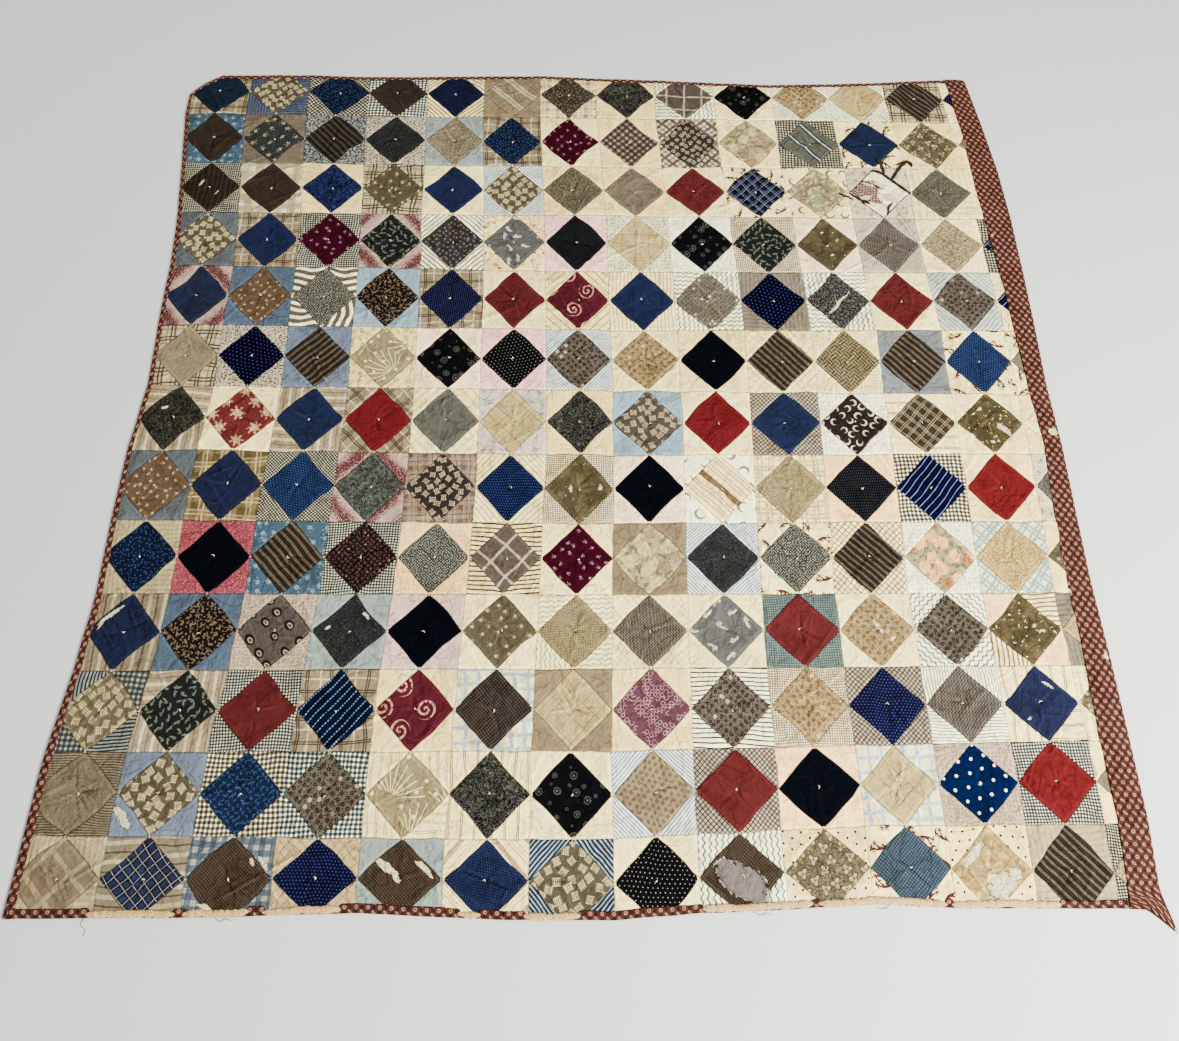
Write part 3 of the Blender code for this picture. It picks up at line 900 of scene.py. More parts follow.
@printed
def zigzag(c, pitch=5, width=1.6, swing=2.4, run=7):
    """Lines pushed to and fro by a triangle wave."""
    return lines(c.x + abs((c.y / run) % 1 - 0.5) * (4 * swing), pitch, width)


@printed
def lattice(c, pitch=6, width=1.2):
    """Lines along both diagonals."""
    pitch, width = pitch * 1.4, width * 1.4
    return lines(c.x + c.y, pitch, width).most(lines(c.x - c.y, pitch, width))


@printed
def dashes(c, pitch=13.5, width=1.6, run=6.0):
    """Broken lines."""
    return lines(c.x, pitch, width) * lines(c.y, run, run * 0.62)


@printed
def basket(c, pitch=9):
    """Squares of short bars that lie across each other in turn, like basket weave."""
    odd = ((c.x / pitch).floor() + (c.y / pitch).floor()) % 2
    return lines(c.x, pitch / 2, pitch / 5) * odd + lines(c.y, pitch / 2, pitch / 5) * (1 - odd)


# %% Dots and small figures
def bearing(x, y):
    """The direction of a place, in radians."""
    return y.maths("ARCTAN2", x)


def oval(x, y, wide, tall):
    """1 inside an oval, given half its width and half its height."""
    return (length(x / wide, y / tall) * min(wide, tall)).under(min(wide, tall), 0.3)


def petals(x, y, count, size):
    """1 inside a flower: radius below size·(0.66 + 0.34·cos(count·angle))."""
    lobes = (bearing(x, y) * count).cos() * 0.34 + 0.66
    return (length(x, y) - lobes * size).under(0, 0.3)


@printed
def dots(c, pitch=6.0, size=0.9, tall=None, stretch=1.0):
    """Round or oval dots in staggered rows."""
    x, y = c.repeat(pitch, tall or pitch * 0.8, 0.5)
    return length(x, y / stretch).under(size, 0.3)


def sprigs(c, ground, flower, leaf, pitch=14, size=3.0, count=5, eye=None):
    """Scattered flowers, each with two leaves on a bent stem and an eye."""
    x, y, _ = c.thrown(pitch, 0.6)
    stem = oval(x - y * y * (0.12 / size) - size * 0.3, y + size * 1.1, 0.35, size)
    leaves = oval(x - size * 0.9, y + size * 1.2, size * 0.55, size * 0.26).most(
        oval(x + size * 0.7, y + size * 1.5, size * 0.5, size * 0.26))
    colour = c.mix(stem.most(leaves), ground, leaf)
    colour = c.mix(petals(x, y, count, size), colour, flower)
    return c.mix(length(x, y).under(size * 0.24, 0.25), colour, eye or ground)


@printed
def twigs(c, pitch=28, size=1.0):
    """Bent sprays thrown about, each with leaves up one side and a blossom at its tip."""
    x, y, _ = c.thrown(pitch, 0.45, size)
    bent = x - y * y * 0.022
    fork = oval(bent - abs(y + 3) * 0.6, y + 3, 1.3, 6)
    leaf_x, leaf_y = c.turned(bent - 2.8, (y / 6.5 % 1 - 0.5) * 6.5, 0.7)
    leaves = oval(leaf_x, leaf_y, 3.4, 1.3) * abs(y + 1).under(7.5)
    bloom = petals(bent, y - 11.5, 5, 5.2).most(petals(bent - 6.5, y - 7, 5, 3.8))
    return oval(bent, y, 1.4, 12).most(fork).most(leaves).most(bloom)


def scatter(c, ground, line, pitch=6, wide=2.2, tall=0.9, second=None, loose=0.9):
    """Short strokes or leaves thrown about at every angle."""
    x, y, pick = c.thrown(pitch, loose)
    colour = c.mix(pick.over(0.5, 0.05), line, second) if second else line
    return c.mix(oval(x, y, wide, tall), ground, colour)


def leafy(c, ground, line, pitch=8, second=None):
    """Two sizes of leaves thrown over each other, and specks between."""
    colour = scatter(c, ground, second or line, pitch * 0.6, pitch * 0.2, pitch * 0.09)
    x, y, _ = c.thrown(pitch * 1.3, 0.8)
    pair = oval(x - pitch * 0.18, y - abs(x) * 0.3, pitch * 0.36, pitch * 0.13).most(
        oval(x * 0.5 + y, x - y * 0.6, pitch * 0.34, pitch * 0.12))
    return c.mix(pair, colour, line)


@printed
def speckled(c, size=1.6, amount=0.5, soft=0.12):
    """Flecks where a fine cloudy noise is high."""
    return c.noise(c.x, c.y, size, 1.0).ramp(amount - soft, amount + soft)


@printed
def vermicelli(c, size=4.0, width=0.05):
    """A wandering line: the places where a noise crosses its middle."""
    return abs(c.noise(c.x, c.y, size, 0.0, distort=1.2) - 0.5).under(width, width * 0.5)


def tumbled(c, ground, square, pitch=17.5, half=5.4):
    """Squares of stripes thrown down at every angle."""
    x, y, _ = c.thrown(pitch, 0.42)
    striped = c.mix(lines(y, 3.6, 1.5) * abs(x).under(half * 0.78), square, ground)
    return c.mix(abs(x).most(abs(y)).under(half, 0.3), ground, striped)


@printed
def crosses(c, pitch=11, reach=3.6):
    """Pairs of short lines laid across each other."""
    x, y = (abs(each) for each in c.repeat(pitch, pitch, 0.5))
    bars = abs(x - 1.3).under(0.5, 0.3) * y.under(reach, 0.4)
    return bars.most(abs(y - 1.3).under(0.5, 0.3) * x.under(reach, 0.4))


@printed
def beans(c, pitch=21):
    """Outlined beans with a bar down the middle, at every angle."""
    x, y, _ = c.thrown(pitch, 0.5)
    shell = abs(length(x / 1.6, y + x * x * 0.02) - 3.3)
    return shell.under(0.55, 0.3).most(oval(x, y, 3.2, 0.6))


def bouquets(c, ground, flower, leaf, pitch=44):
    """A few large bunches: three flowers, and leaves that spread from between them."""
    x, y, _ = c.thrown(pitch, 0.35)
    away = length(x, y)
    spray = ((bearing(x, y) * 7).cos() * 4.5 + 12 - away).over(0.0, 0.8) * away.over(5.0)
    spray = spray * c.noise(c.x, c.y, 3.2, 1.0).ramp(0.42, 0.5)
    heads = petals(x - 3.6, y, 6, 5.4).most(petals(x + 3.4, y - 3.0, 6, 4.6))
    heads = heads.most(petals(x + 2.4, y + 4.4, 6, 4.0))
    eyes = length(x - 3.6, y).under(1.5, 0.3).most(length(x + 3.4, y - 3.0).under(1.2, 0.3))
    return c.mix(eyes, c.mix(heads, c.mix(spray, ground, leaf), flower), ground)


@printed
def wheels(c, pitch=25, spokes=14):
    """Lacy wheels of every size: fine spokes broken into rings, with a dot in the middle."""
    x, y, _, b = c.spots(pitch, 0.55)
    away = length(x, y) / (b * b * 8.0 + 2.6)
    rays = (bearing(x, y) * spokes).cos().over(0.0, 0.3) * (away * 11).sin().over(-0.1, 0.3)
    return (rays * away.under(0.95, 0.08)).most(away.under(0.22, 0.06))


@printed
def crescents(c, pitch=23, size=7.5):
    """Thin new moons turned every way."""
    x, y, _ = c.thrown(pitch, 0.4)
    return length(x, y).under(size) * length(x - size * 0.34, y).over(size * 0.78)


@printed
def spirals(c, pitch=58, size=17, step=9.5, width=3.0):
    """Scrolls: the line on which the radius grows by one step for every turn."""
    x, y, a, _ = c.spots(pitch, 0.25)
    winding = length(x, y) + bearing(x, y) * (step / (2 * math.pi)) + a * step
    worn = c.noise(c.x, c.y, 5, 2.0).ramp(0.3, 0.5)
    return lines(winding, step, width, 0.8) * length(x, y).under(size, 0.5) * worn


@printed
def rings(c, pitch=10.0, size=3.5, width=0.6):
    """Small circles that touch in wandering chains."""
    x, y, *_ = c.spots(pitch, 0.35)
    here = c.noise(c.x, c.y, 26, 1.0).ramp(0.40, 0.46)
    return abs(length(x, y) - size).under(width, 0.25) * here


def trails(c, ground, line, dot, pitch=56, size=4.4, scale=95, width=0.012):
    """Long thin curves that cross each other, and a few discs among them."""
    x, y, *_ = c.spots(pitch, 0.6)
    one, two = (abs(c.noise(c.x + shift, c.y, size, 0.0) - 0.5).under(width, width * 0.5)
                for shift, size in ((0, scale), (300, scale * 0.8)))
    return c.mix(length(x, y).under(size, 0.4), c.mix(one.most(two), ground, line), dot)


def posies(c, ground, dark, pale, pitch=12.5, size=3.5):
    """Dark flowers with buds between them, and here and there a pale one."""
    x, y, *_ = c.spots(pitch * 0.55, 0.8)
    colour = c.mix(length(x, y).under(size * 0.34, 0.3), ground, dark)
    x, y, a, b = c.spots(pitch, 0.35)
    kind = b.over(0.93, 0.02)
    lobes = (bearing(x, y) * 5 + a * 6.28).cos() * (size * 0.14) + size * 0.9
    colour = c.mix((length(x, y) - lobes).under(0, 0.3), colour, c.mix(kind, dark, pale))
    return c.mix(length(x, y).under(size * 0.28, 0.25), colour, c.mix(kind, ground, dark))


def garden(c, ground, petal, heart, leaf):
    """Large blown roses, some pale and some warm: rings of petals round scattered hearts."""
    x, y, _, b = c.spots(34, 0.6)
    away = length(x, y) + (c.noise(c.x, c.y, 9, 2.0) - 0.5) * 13
    rose, warm = away.under(13, 1.2), b.over(0.55, 0.05)
    colour = c.mix(c.noise(c.x + 40, c.y, 13, 2.0).ramp(0.54, 0.6) * 0.8, ground, leaf)
    colour = c.mix(rose, colour, c.mix(warm, petal, heart))
    edges = lines(away + bearing(x, y) * 1.5, 5.2, 1.4, 0.9) * rose * 0.6
    return c.mix(edges, colour, c.mix(warm, heart, petal))


@printed
def damask(c, pitch=16, size=5.0):
    """Large pale flowers in cloudy outline, tone on tone."""
    x, y, *_ = c.spots(pitch, 0.5)
    cloud = c.noise(c.x, c.y, 3.2, 2.0)
    outline = abs(length(x, y) - size - (cloud - 0.5) * 5).under(0.8, 0.5)
    return outline.most(cloud.ramp(0.5, 0.62) * 0.8)


def burst(c, ground, ray, run=58):
    """A strong colour that fades in broad bands into clouds of pale specks."""
    band = c.wave(c.x + c.noise(c.x, c.y, 20, 1.0) * 14, run)
    specks = (c.noise(c.x, c.y, 2.6, 2.0, 0.6) - 0.5) * 3.4
    return c.mix((band * 1.1 + specks + 0.1).ramp(0.35, 0.85), ray, ground)


def splotched(c, ground, worn, amount=0.66):
    """Dye rubbed off in sharp-edged splotches."""
    faint = c.mix(c.noise(c.x, c.y, 30, 2.0).ramp(0.4, 0.7) * 0.10, ground, DYES["SAND"])
    gone = c.noise(c.x + 31, c.y, 11, 4.0, 0.65).ramp(amount, amount + 0.03)
    return c.mix(gone, faint, worn)


def medallions(c, ground, dark, light, pitch=36, size=10):
    """Dark ovals, each with a smaller pale oval and a ring in it."""
    x, y, *_ = c.spots(pitch, 0.3)
    colour = c.mix(oval(x, y, size, size * 0.8), ground, dark)
    colour = c.mix(oval(x - 1.5, y, size * 0.58, size * 0.4), colour, light)
    return c.mix(oval(x - 1.5, y, size * 0.4, size * 0.24), colour, ground)


def shredded(c, batting, cover, dot, rag):
    """A cover worn down to its wadding: an older dotted print on the left, rags along seams."""
    block = c.node("ShaderNodeUVMap", {"uv_map": "block"}, out="UV")
    push = c.noise(c.x, c.y, 18, 2.0) * 34 - 17
    x, y = c.split(block, "X") * 1000 + push, c.split(block, "Y") * 1000 - push * 0.7
    print_here = x.under(-2, 0.8) * y.over(-30, 0.8) * y.under(38, 0.8)
    spot_x, spot_y = c.repeat(9, 6.5, 0.5)
    colour = c.mix(print_here, batting, c.mix(oval(spot_x, spot_y, 2.9, 1.7), cover, dot))
    edge = c.attribute("seam") * 1000 + push * 0.12
    return c.mix(edge.under(2.4, 0.5), colour, rag)


def clouded(c, ground, *tints):
    """Blots of one tint after another where a coarse noise is high."""
    for place, tint in enumerate(tints):
        cloud = c.noise(c.x + 37 * place, c.y, 15, 4.0, 0.6).ramp(0.53, 0.6)
        ground = c.mix(cloud * 0.8, ground, tint)
    return ground


def hearts(c, ground, pale, pitch=25, size=9.0):
    """Three-lobed pale figures with a dark eye, on a ground of fine wandering lines."""
    x, y, _ = c.thrown(pitch, 0.35)
    colour = vermicelli(c, ground, c.mix(0.55, ground, pale), 6.0, 0.05)
    for share, each in ((1.4, ground), (1, pale), (0.36, ground)):
        colour = c.mix(petals(x, y, 3, size * share), colour, each)
    return colour


@printed
def rays(c, pitch=62, reach=44, spread=24.0):
    """Fans of fine lines that spread from a point, and a few discs: spread lines to a turn."""
    x, y, a, _ = c.spots(pitch, 0.3)
    x, y = c.turned(x, y + 12, a * 0.8)
    angle = bearing(x, y) / (2 * math.pi)
    gap = abs((angle * spread) % 1 - 0.5) / spread * (2 * math.pi) * length(x, y)
    fan = gap.under(0.8, 0.3) * length(x, y).under(reach) * y.over(8)
    discs, up, _, pick = c.spots(30, 0.5)
    return fan.most(length(discs, up).under(3.6) * pick.over(0.55, 0.02))


def lozenges(c, ground, dark, pale, warm):
    """The backing's print: a row of rings, then a row of slanted ovals, dark spots between."""
    x, y = c.repeat(15.6, 10.4, 0.5)
    odd = (c.y / 10.4).floor() % 2
    a, b = c.turned(x, y, -0.72)
    figure = length(x, y).under(3.3, 0.5) * (1 - odd) + oval(a, b, 4.4, 2.0) * odd
    middle = length(x, y).under(1.5, 0.6) * (1 - odd) + oval(a, b, 2.3, 0.8) * (odd * 0.8)
    colour = c.mix(c.noise(c.x, c.y, 9, 2.0).ramp(0.4, 0.6) * 0.5, ground, warm)
    colour = c.mix(abs(x).over(4.9, 0.9) * abs(y).under(3.2, 1.1), colour, dark)
    return c.mix(figure * (1 - middle), colour, pale)


print("print kinds ready")

# %% [markdown]
# ## The scrap bag
# Every fabric is one entry: its name, the kind of print, then its colours and sizes.  The plan of
# the quilt then names them block by block, first the diamond and after the slash its four
# corners, or the two pairs of corners where they differ.  A + or - after a diamond's name lays its
# stripes rising or falling to the right.

# %% Fabrics
def worth(word):
    """A word of an entry: a dye by its name or its colour, a number, or None for a dash."""
    if word in DYES:
        return DYES[word]
    if word.startswith("#"):
        return dye(word)
    return None if word == "-" else float(word)


FABRICS = {name: (globals()[kind], *map(worth, words)) for name, kind, *words in entries("""
# plain weaves
beige_bloom posies #aaa293 #6a5a4f #f2f0e5 8 2.3 | linen shirting #d3caac #b5aa8a 10 2.2 .9
soft_plaid windowpane IVORY #dfd6ac 26 5 9 WHITE | khaki plain #b7ac90
sand_pane windowpane #d6cba0 #a4926a 33 1.3 | bright_pin dots #182f63 #8e9fbf 6.2 .7
thin_stripe stripes #3a2a21 #665342 12.5 1.8 | sage_worm vermicelli #343834 #989c92 4.6 .075
indigo plain #1e304a | blue plain #26325d | royal plain #303a5f | brown plain #4d3c30
taupe plain #a29581 | black plain INK | scarlet plain SCARLET | slate plain #8b8b7e
denim plain DENIM | periwinkle plain PERIWINKLE | sky plain SKY | lilac plain LILAC
blush plain BLUSH | peach plain PEACH | pink plain #f4dfdc | tan plain TAN | sand plain SAND
white plain WHITE | ivory plain IVORY | cream plain CREAM | bluegrey plain #c0c6c2
greyblue plain #8a8f92 | rose speckled #b65966 #d6a1aa 3 .62
batting clouded #c9b887 #b19a65 #ddd0a5 | fine_navy dots #0f0f40 #8185b4 6.6 .85 5.6
buff_band banded IVORY #d4c4a0 44 9 6.4 | black_stripe edged #63564a #231b19 #433730 13.6 7.4 1.2
# dots
navy_pin dots NAVY #8c94bf 5.6 .65 | navy_dot dots #040325 #8484b7 10 1.05
black_dot dots BLACK #bdbab3 8.6 .95 7.4 | blue_pin dots #1d2653 #6673a7 5 .65
royal_pin dots #222750 #444f80 3.4 .6 | red_pin dots RED #ba7668 3.8 .5
polka dots #051755 WHITE 27 2.9 | blue_oval dots #101a52 #8092be 5.2 .6 6 1.5
black_dash dots BLACK #626570 5 .7 6 2.4 | cream_dot dots IVORY #af9d7a 4.5 .5
cream_black_dot dots CREAM #2c261d 20 2.3 | peach_dot dots PEACH TAN 4.6 .9
cream_dash dots CREAM #ddcb8c 6 .9 9 2.6
# stripes
brown_stripe edged #8a7a66 #261d17 #5c4c3c 13.6 7.4 1.2
walnut_stripe edged #867662 #281f1a #544436 12.5 7.4 1.3
navy_stripe stripes #030333 #aeb2c3 13 1.5 #121e57 1 | dash_stripe dashes #071440 #c1c6d0
tan_stripe edged #b1a488 #d7d2ba #c1b69a 46 15 5
sage_stripe edged #88887a #425066 #dadad2 44 13 4 | beige_stripe stripes IVORY #b0a07b 9 3.4
buff_stripe stripes IVORY #d9ceac 9 2.6 | cream_brown shirting IVORY #372a20 25 3 1.4
tan_shirt stripes #c8bca2 #e2dac6 24 6 #a6967c 2.2 | cream_line shirting IVORY #6c5c48 16 3 .9
grey_line stripes #dcd8c8 #9e9c90 5 1.3 | white_tan stripes WHITE #5c4a39 9.4 2.8
green_stripe stripes WHITE #93a079 8 1.8 | blue_crinkle stripes #dde2e0 #a1afc1 5.6 1.8 WHITE 1.2
navy_ticking stripes #c5cac9 #17305b 6.4 3.7 | dark_stripe stripes WHITE #463c32 8.4 2.8
brown_line stripes CREAM #4b4842 9.6 3.4 | lavender_stripe stripes #9498a0 #c0c0be 3.6 1.5
blue_white stripes #e1e1d4 #bfc7ca 9 4 | periwinkle_stripe stripes #606880 #8c94a8 7 2
fine_rib stripes #a89c84 #726452 4.4 1.9 #b6aa90 .8 | green_rib stripes WHITE #a2af99 6 2
red_stripe stripes IVORY RED 12 1.4 PINK 2 | lines_band banded CREAM #a28c61 62 13 7.2
grey_shirt shirting #b4aa98 #584e44 10 2 .7 | tan_band stripes #b3a68d #d1cab1 30 7 #7f6a57 3
yellow_radial stripes CREAM #3a342c 15 1.8
# checks and plaids
tan_plaid windowpane #c0b499 #58463b 44 2.6 4.2 #e4dec9 | brown_check gingham #e2e0d2 #48322c 7.4
coffee_gingham gingham WHITE #624a40 8.6 | teal_gingham gingham WHITE #33536c 8.4
teal_check gingham #b6beb5 #38565d 4.8 .85 | black_check gingham #e6e5da #38353a 5.6
tan_check windowpane IVORY #7a6a54 9.5 2.2 | cream_check windowpane IVORY #66533a 15 1
dark_check gingham #e2dfd2 #302726 5 | umber_check gingham #877667 #372c27 5
choc_check gingham #866f5a #3e2f24 4.4 .9 | fine_beige gingham WHITE #bca680 4.6
blue_plaid plaid IVORY #778ca4 #a5aeae 26 .4 1.4 .8
sky_plaid windowpane #eae8cf #b4c8cd 26 5 9 WHITE | brown_lattice lattice #d0c8b8 #543f38 7 2
tan_lattice lattice #daceac #a68c66 13 .9 | cream_lattice lattice IVORY #b0a285 11 .6
navy_plaid plaid #141635 #3c486d #c8c4b9 16 .5 .9 .85 0
navy_check plaid #040629 #1e2851 #b0b4bf 21 .4 1.3 .5
brown_plaid windowpane #53442e #cbc2ac 21 1.1 4.4
madras plaid #cbbeaa #7d4c48 DARK 30 .36 1.2 .8
madras_light windowpane #e0dac9 #72544b 26 7.5 0 #484643
olive_plaid plaid #baa97b #705d35 #ded5b5 38 .4 2.2 .8
tan_dark_plaid windowpane #d9d1b9 #3d302b 36 4 8 #ab9c81
grey_plaid gingham #ebe5ce #838584 34 .6 | blue_gingham gingham #cecec5 #5e748d 20 .95
taupe_pane windowpane #847466 #d6ccbc 46 4.8 | tan_pane windowpane #ac9e82 #c8bc9e 58 8
small_blue gingham #829197 #3a4d63 4.8 | basket basket #b6aa85 #422e19 14
brown_gingham gingham #cdbfac #3d3536 14.5 .95 | pale_plaid windowpane #ece8d4 #ccd6d8 26 6.4
cream_fine windowpane IVORY #d2c8a3 7 .9
# waves
wavy_blue wavy IVORY #8caca9 10 2 1.6 16 | wavy_green wavy WHITE #849e90 11 3.2 1.8 14
wavy_tan wavy WHITE #908474 18 10 4 90 | taupe_zigzag zigzag #9b9185 #473d39 6.4 2.5 2.2 7
brown_zigzag zigzag #a19786 #514740 6.2 2.4 2 6 | tan_zigzag basket #c2b690 #968662 9
# small figures
indigo_fleck scatter #111e42 #7186b0 7.6 1.9 .7 | blue_worm crescents #172c58 #637ca2 9.4 3.1
navy_worm vermicelli #091043 #6b7aa9 5 .036 | black_worm vermicelli #111210 #75705e 4.2 .08
grey_worm vermicelli #121211 #8e8c81 5 .06 | charcoal speckled #2e3030 #5e5e5a 3 .6
sage_speck speckled #625e50 #a09a86 2.8 .55 | grey_speck scatter #5e5d54 #d2d1c4 4.4 1 .9 - .5
taupe_mottle speckled #6f6755 #a3997f 3.6 .5 | beige_mottle speckled #b6ac91 #92866d 4.4 .52
tan_mottle speckled #d0c6a6 #ac9e7e 5 .5 | peach_speck speckled #e1d4a3 #b7a26f 3 .52 .06
moth_tan sprigs #a3967c #796154 #85795c 9 1.3 | blue_speck speckled #dfd9cb #57535b 3.8 .55 .05
grey_tiny speckled #c0c0bc #505258 5 .5 .08 | pink_dark sprigs #40403d #bca6a5 #7e7a75 11.5 3 5
bean beans #eee6c0 #806a40 | dark_leaf twigs #242824 #a0a496 15.5 .52
green_leaf sprigs #484c4a #d4cab0 #9e9c88 27 5.6 4 | grey_leaf crescents IVORY #a2a394 36 11
brown_tan_leaf leafy #1f1916 #a79276 12 | grey_floral leafy #383435 #a09a93 7.5
coral_scribble trails IVORY #dec4a7 #c68881 34 3 26 .022 | red_sprig twigs IVORY #802c3c 40 1.4
pink_sprig sprigs #e0dbd3 #9a4151 #a49997 25 3.8 | tiny_red sprigs #d8cdbb #9a5047 #766859 7.2 1.9
tiny_blue sprigs WHITE #5d6c8e #858878 9 1.7
blue_grey_sprig sprigs #ece9d4 #424b54 #646966 9.4 2.3 4
# larger figures
faded_card tumbled #9c9074 #ded6b6 20.5 6.6 | slate_ticking stripes #b8bcb4 #363e44 6.4 3.2
ink_check gingham #ccccc0 #283042 10 .95 | olive_card tumbled #83775e #dfd8bc 20.5 6.6
taupe_card tumbled #766c5f #d8ceb1 20 6.4 | umber_card tumbled #4a3f3c #d4cab2 19 6
brown_card tumbled #554840 #cfc6b2 16.5 4.8
wine_sprig sprigs #540921 #d0babb #c0a4a7 22 2.9 5 #540921
red_bouquet bouquets #963b3d #e8e1c5 #d8c3a5 | wheel wheels BLACK #84827b
scroll spirals #7b2434 #e1c2b6 62 20 11.5 4 | moon crescents #392c29 #e3dccf
pale_moon crescents #fafae0 #b2b2a2 40 12 | chain rings #885462 #d8bebe 10 3.5 .5
brown_bloom posies #8b7f6e #312520 #d9d1be 12.5 3.9
mink_bloom posies #918475 #2f2220 #ddd4c2 12.5 3.9
dark_bloom posies #151011 #89605b #bb968f 9 2.6 | gold_bloom sprigs #8e7354 #e4d9c2 #ccbb98 18 2.7
olive_bloom sprigs #83775b #e5dab1 #b3a883 23 4 5
gold_floral posies #c6b58a #927850 #e4dabe 14 4
beige_floral garden #d1caa9 #e3dcbd #bda889 #999071 | tan_damask damask #b0a37c #cabf98 13 4
worn_floral clouded #bab894 #d0be8c #8e967e #dedcc0 #c49e78
brown_floral leafy #5e5245 #ae9e85 8 #3c322b | olive_floral hearts #72664c #cec4a0
coral_floral garden #c6c0a2 #eed8b0 #c4825a #9c865e | grey_vine twigs #8a8884 #e4e2d6 36 .8
medallion medallions #807368 #2a201e #d4c0b2 35 11 | tan_cross crosses #beaf90 #7a6448
vine_cream rays #c3b793 #efebd1 84 66 | bright_leaf sprigs #6a8899 #c6d0d1 #9cb0bb 24 5.4 6
rose_burst burst #d8c9bf #8c434d | pink_floral sprigs #e2dccc #823442 #9e9286 25 4.4
olive_worn splotched #6b5c3c IVORY | olive_holed splotched #706343 IVORY .7
scrap_pink shredded BATTING #94706e #e0cec4 #363228
""")}

# %% The plan of the quilt, row by row from the top
PLAN = """
indigo/tan_plaid olive_card/periwinkle_stripe indigo_fleck/brown_check* brown/teal_gingham
navy_pin/beige_stripe* tan_stripe-/tan brown_floral/blue_plaid grey_worm/cream
taupe_pane=/wavy_green wheel/ivory gold_floral/green_stripe* sand/green_stripe*
walnut_stripe-/tan_dark_plaid navy_pin/ivory

brown/bright_leaf green_leaf/taupe black_stripe-/grey_tiny charcoal/blue_speck
beige_mottle/bluegrey indigo_fleck/tan_plaid wine_sprig/ivory brown_gingham/cream
brown_card/madras_light* beige_floral/cream_dot sage_stripe-/brown_check blue/red_sprig
olive_floral/cream taupe/ivory

thin_stripe=/dark_check brown/grey_plaid navy_worm/cream olive_bloom/tan_dark_plaid blue_pin/ivory
olive_card/blue_crinkle* taupe_mottle/cream taupe/cream red_pin/ivory navy_check/red_sprig
worn_floral/grey_leaf scrap_pink/pink_floral sage_speck/cream_line cream/ivory

olive_card/greyblue blue_pin/tan_plaid wine_sprig/black_check dark_leaf/rose_burst*
pink_dark/white_tan* grey_vine/coral_scribble black_dash/pink sand_pane=/blue_grey_sprig
wheel/white dark_leaf/fine_beige olive_holed/blush taupe_zigzag=/grey_line tan_mottle/ivory
navy_check/brown_check

royal/rose_burst* gold_bloom/denim grey_speck/wavy_tan brown_tan_leaf/sky navy_pin/tan_plaid
red_pin/cream_dot scroll/yellow_radial* blue_pin/buff_stripe beige_bloom/wavy_green
navy_dot/grey_shirt grey_floral/wavy_green red_pin/ivory mink_bloom/blue_white*
navy_stripe+/red_stripe

khaki/tan_dark_plaid navy_dot/blue_speck brown_stripe+/periwinkle vine_cream/bean wheel/blush
black_dot/pink mink_bloom/blue_crinkle* gold_floral/cream_dot black/cream
brown_stripe-/cream_check* basket/cream_fine brown_stripe-/lavender_stripe* bright_pin/red_sprig
taupe/red_sprig

black_worm/tan_shirt red_bouquet/ivory blue/tan_shirt scarlet/tan_plaid* slate/cream_line*
sand_pane/pink_sprig grey_worm/cream_dash taupe_card/sky scarlet/ivory blue/brown_lattice
moon/tiny_blue brown_plaid/cream_brown_,ivory olive_worn/ivory ivory/cream

gold_bloom/greyblue royal_pin/olive_plaid bright_pin/dark_check* sage_worm/rose_burst*
umber_card/madras blue_oval=/buff_stripe* olive_holed/fine_beige black/blush lines_band-/pale_moon
tan_damask/soft_plaid black_dash=/peach navy_stripe+/coffee_gingham scarlet/cream
sage_speck/pink_floral

indigo_fleck/linen black/rose brown_stripe-/bright_leaf dark_bloom/black_check
grey_speck/peach_dot taupe_pane/brown_line_ wine_sprig/ivory beige_floral/tan
charcoal/blue_crinkle* grey_speck/red_sprig walnut_stripe-/tan_check* coral_floral/tiny_blue
peach_speck/sky_plaid* olive_bloom/cream

royal_pin/tan_band^ brown_tan_leaf/denim medallion/tiny_red charcoal/bluegrey black/lilac
olive_bloom/ivory tan_zigzag=/wavy_blue brown_zigzag=/cream_lattice grey_vine/cream_dot
red_pin/teal_check gold_floral/cream_dot brown_bloom/wavy_green* olive_worn/peach,beige_stripe
sand/grey_shirt

faded_card/slate_ticking,ink_check dark_leaf/tan_shirt red_pin/black_check dash_stripe+/tan_plaid
scroll/cream umber_check/pale_plaid sand_pane/tan chain/cream mink_bloom/dark_stripe_
gold_floral/fine_beige fine_navy=/brown_lattice taupe_zigzag=/green_rib royal_pin/cream_brown
olive_floral/cream_line

moth_tan/fine_rib_ olive_card/periwinkle blue_worm/coffee_gingham brown_bloom/teal_gingham
vine_cream/cream_line grey_worm/cream_brown^ wheel/ivory tan_cross/blue_crinkle*
red_pin/brown_lattice black/peach sand_pane/pale_plaid polka/tiny_red scarlet/black_check
taupe/cream

tan_pane/linen navy_plaid/tan_band_ choc_check/blue_gingham fine_navy=/tan_lattice
choc_check/bluegrey blue_pin/buff_band* olive_card/navy_ticking* black_dot=/ivory
choc_check/wavy_green^ olive_floral/cream_black_dot small_blue/red_sprig batting/cream_black_dot
walnut_stripe-/linen tan_mottle/dark_check
"""
plan = np.array(PLAN.split()).reshape(ROWS, COLUMNS + 1)
print("fabrics:", len(FABRICS), "and blocks:", plan.size)
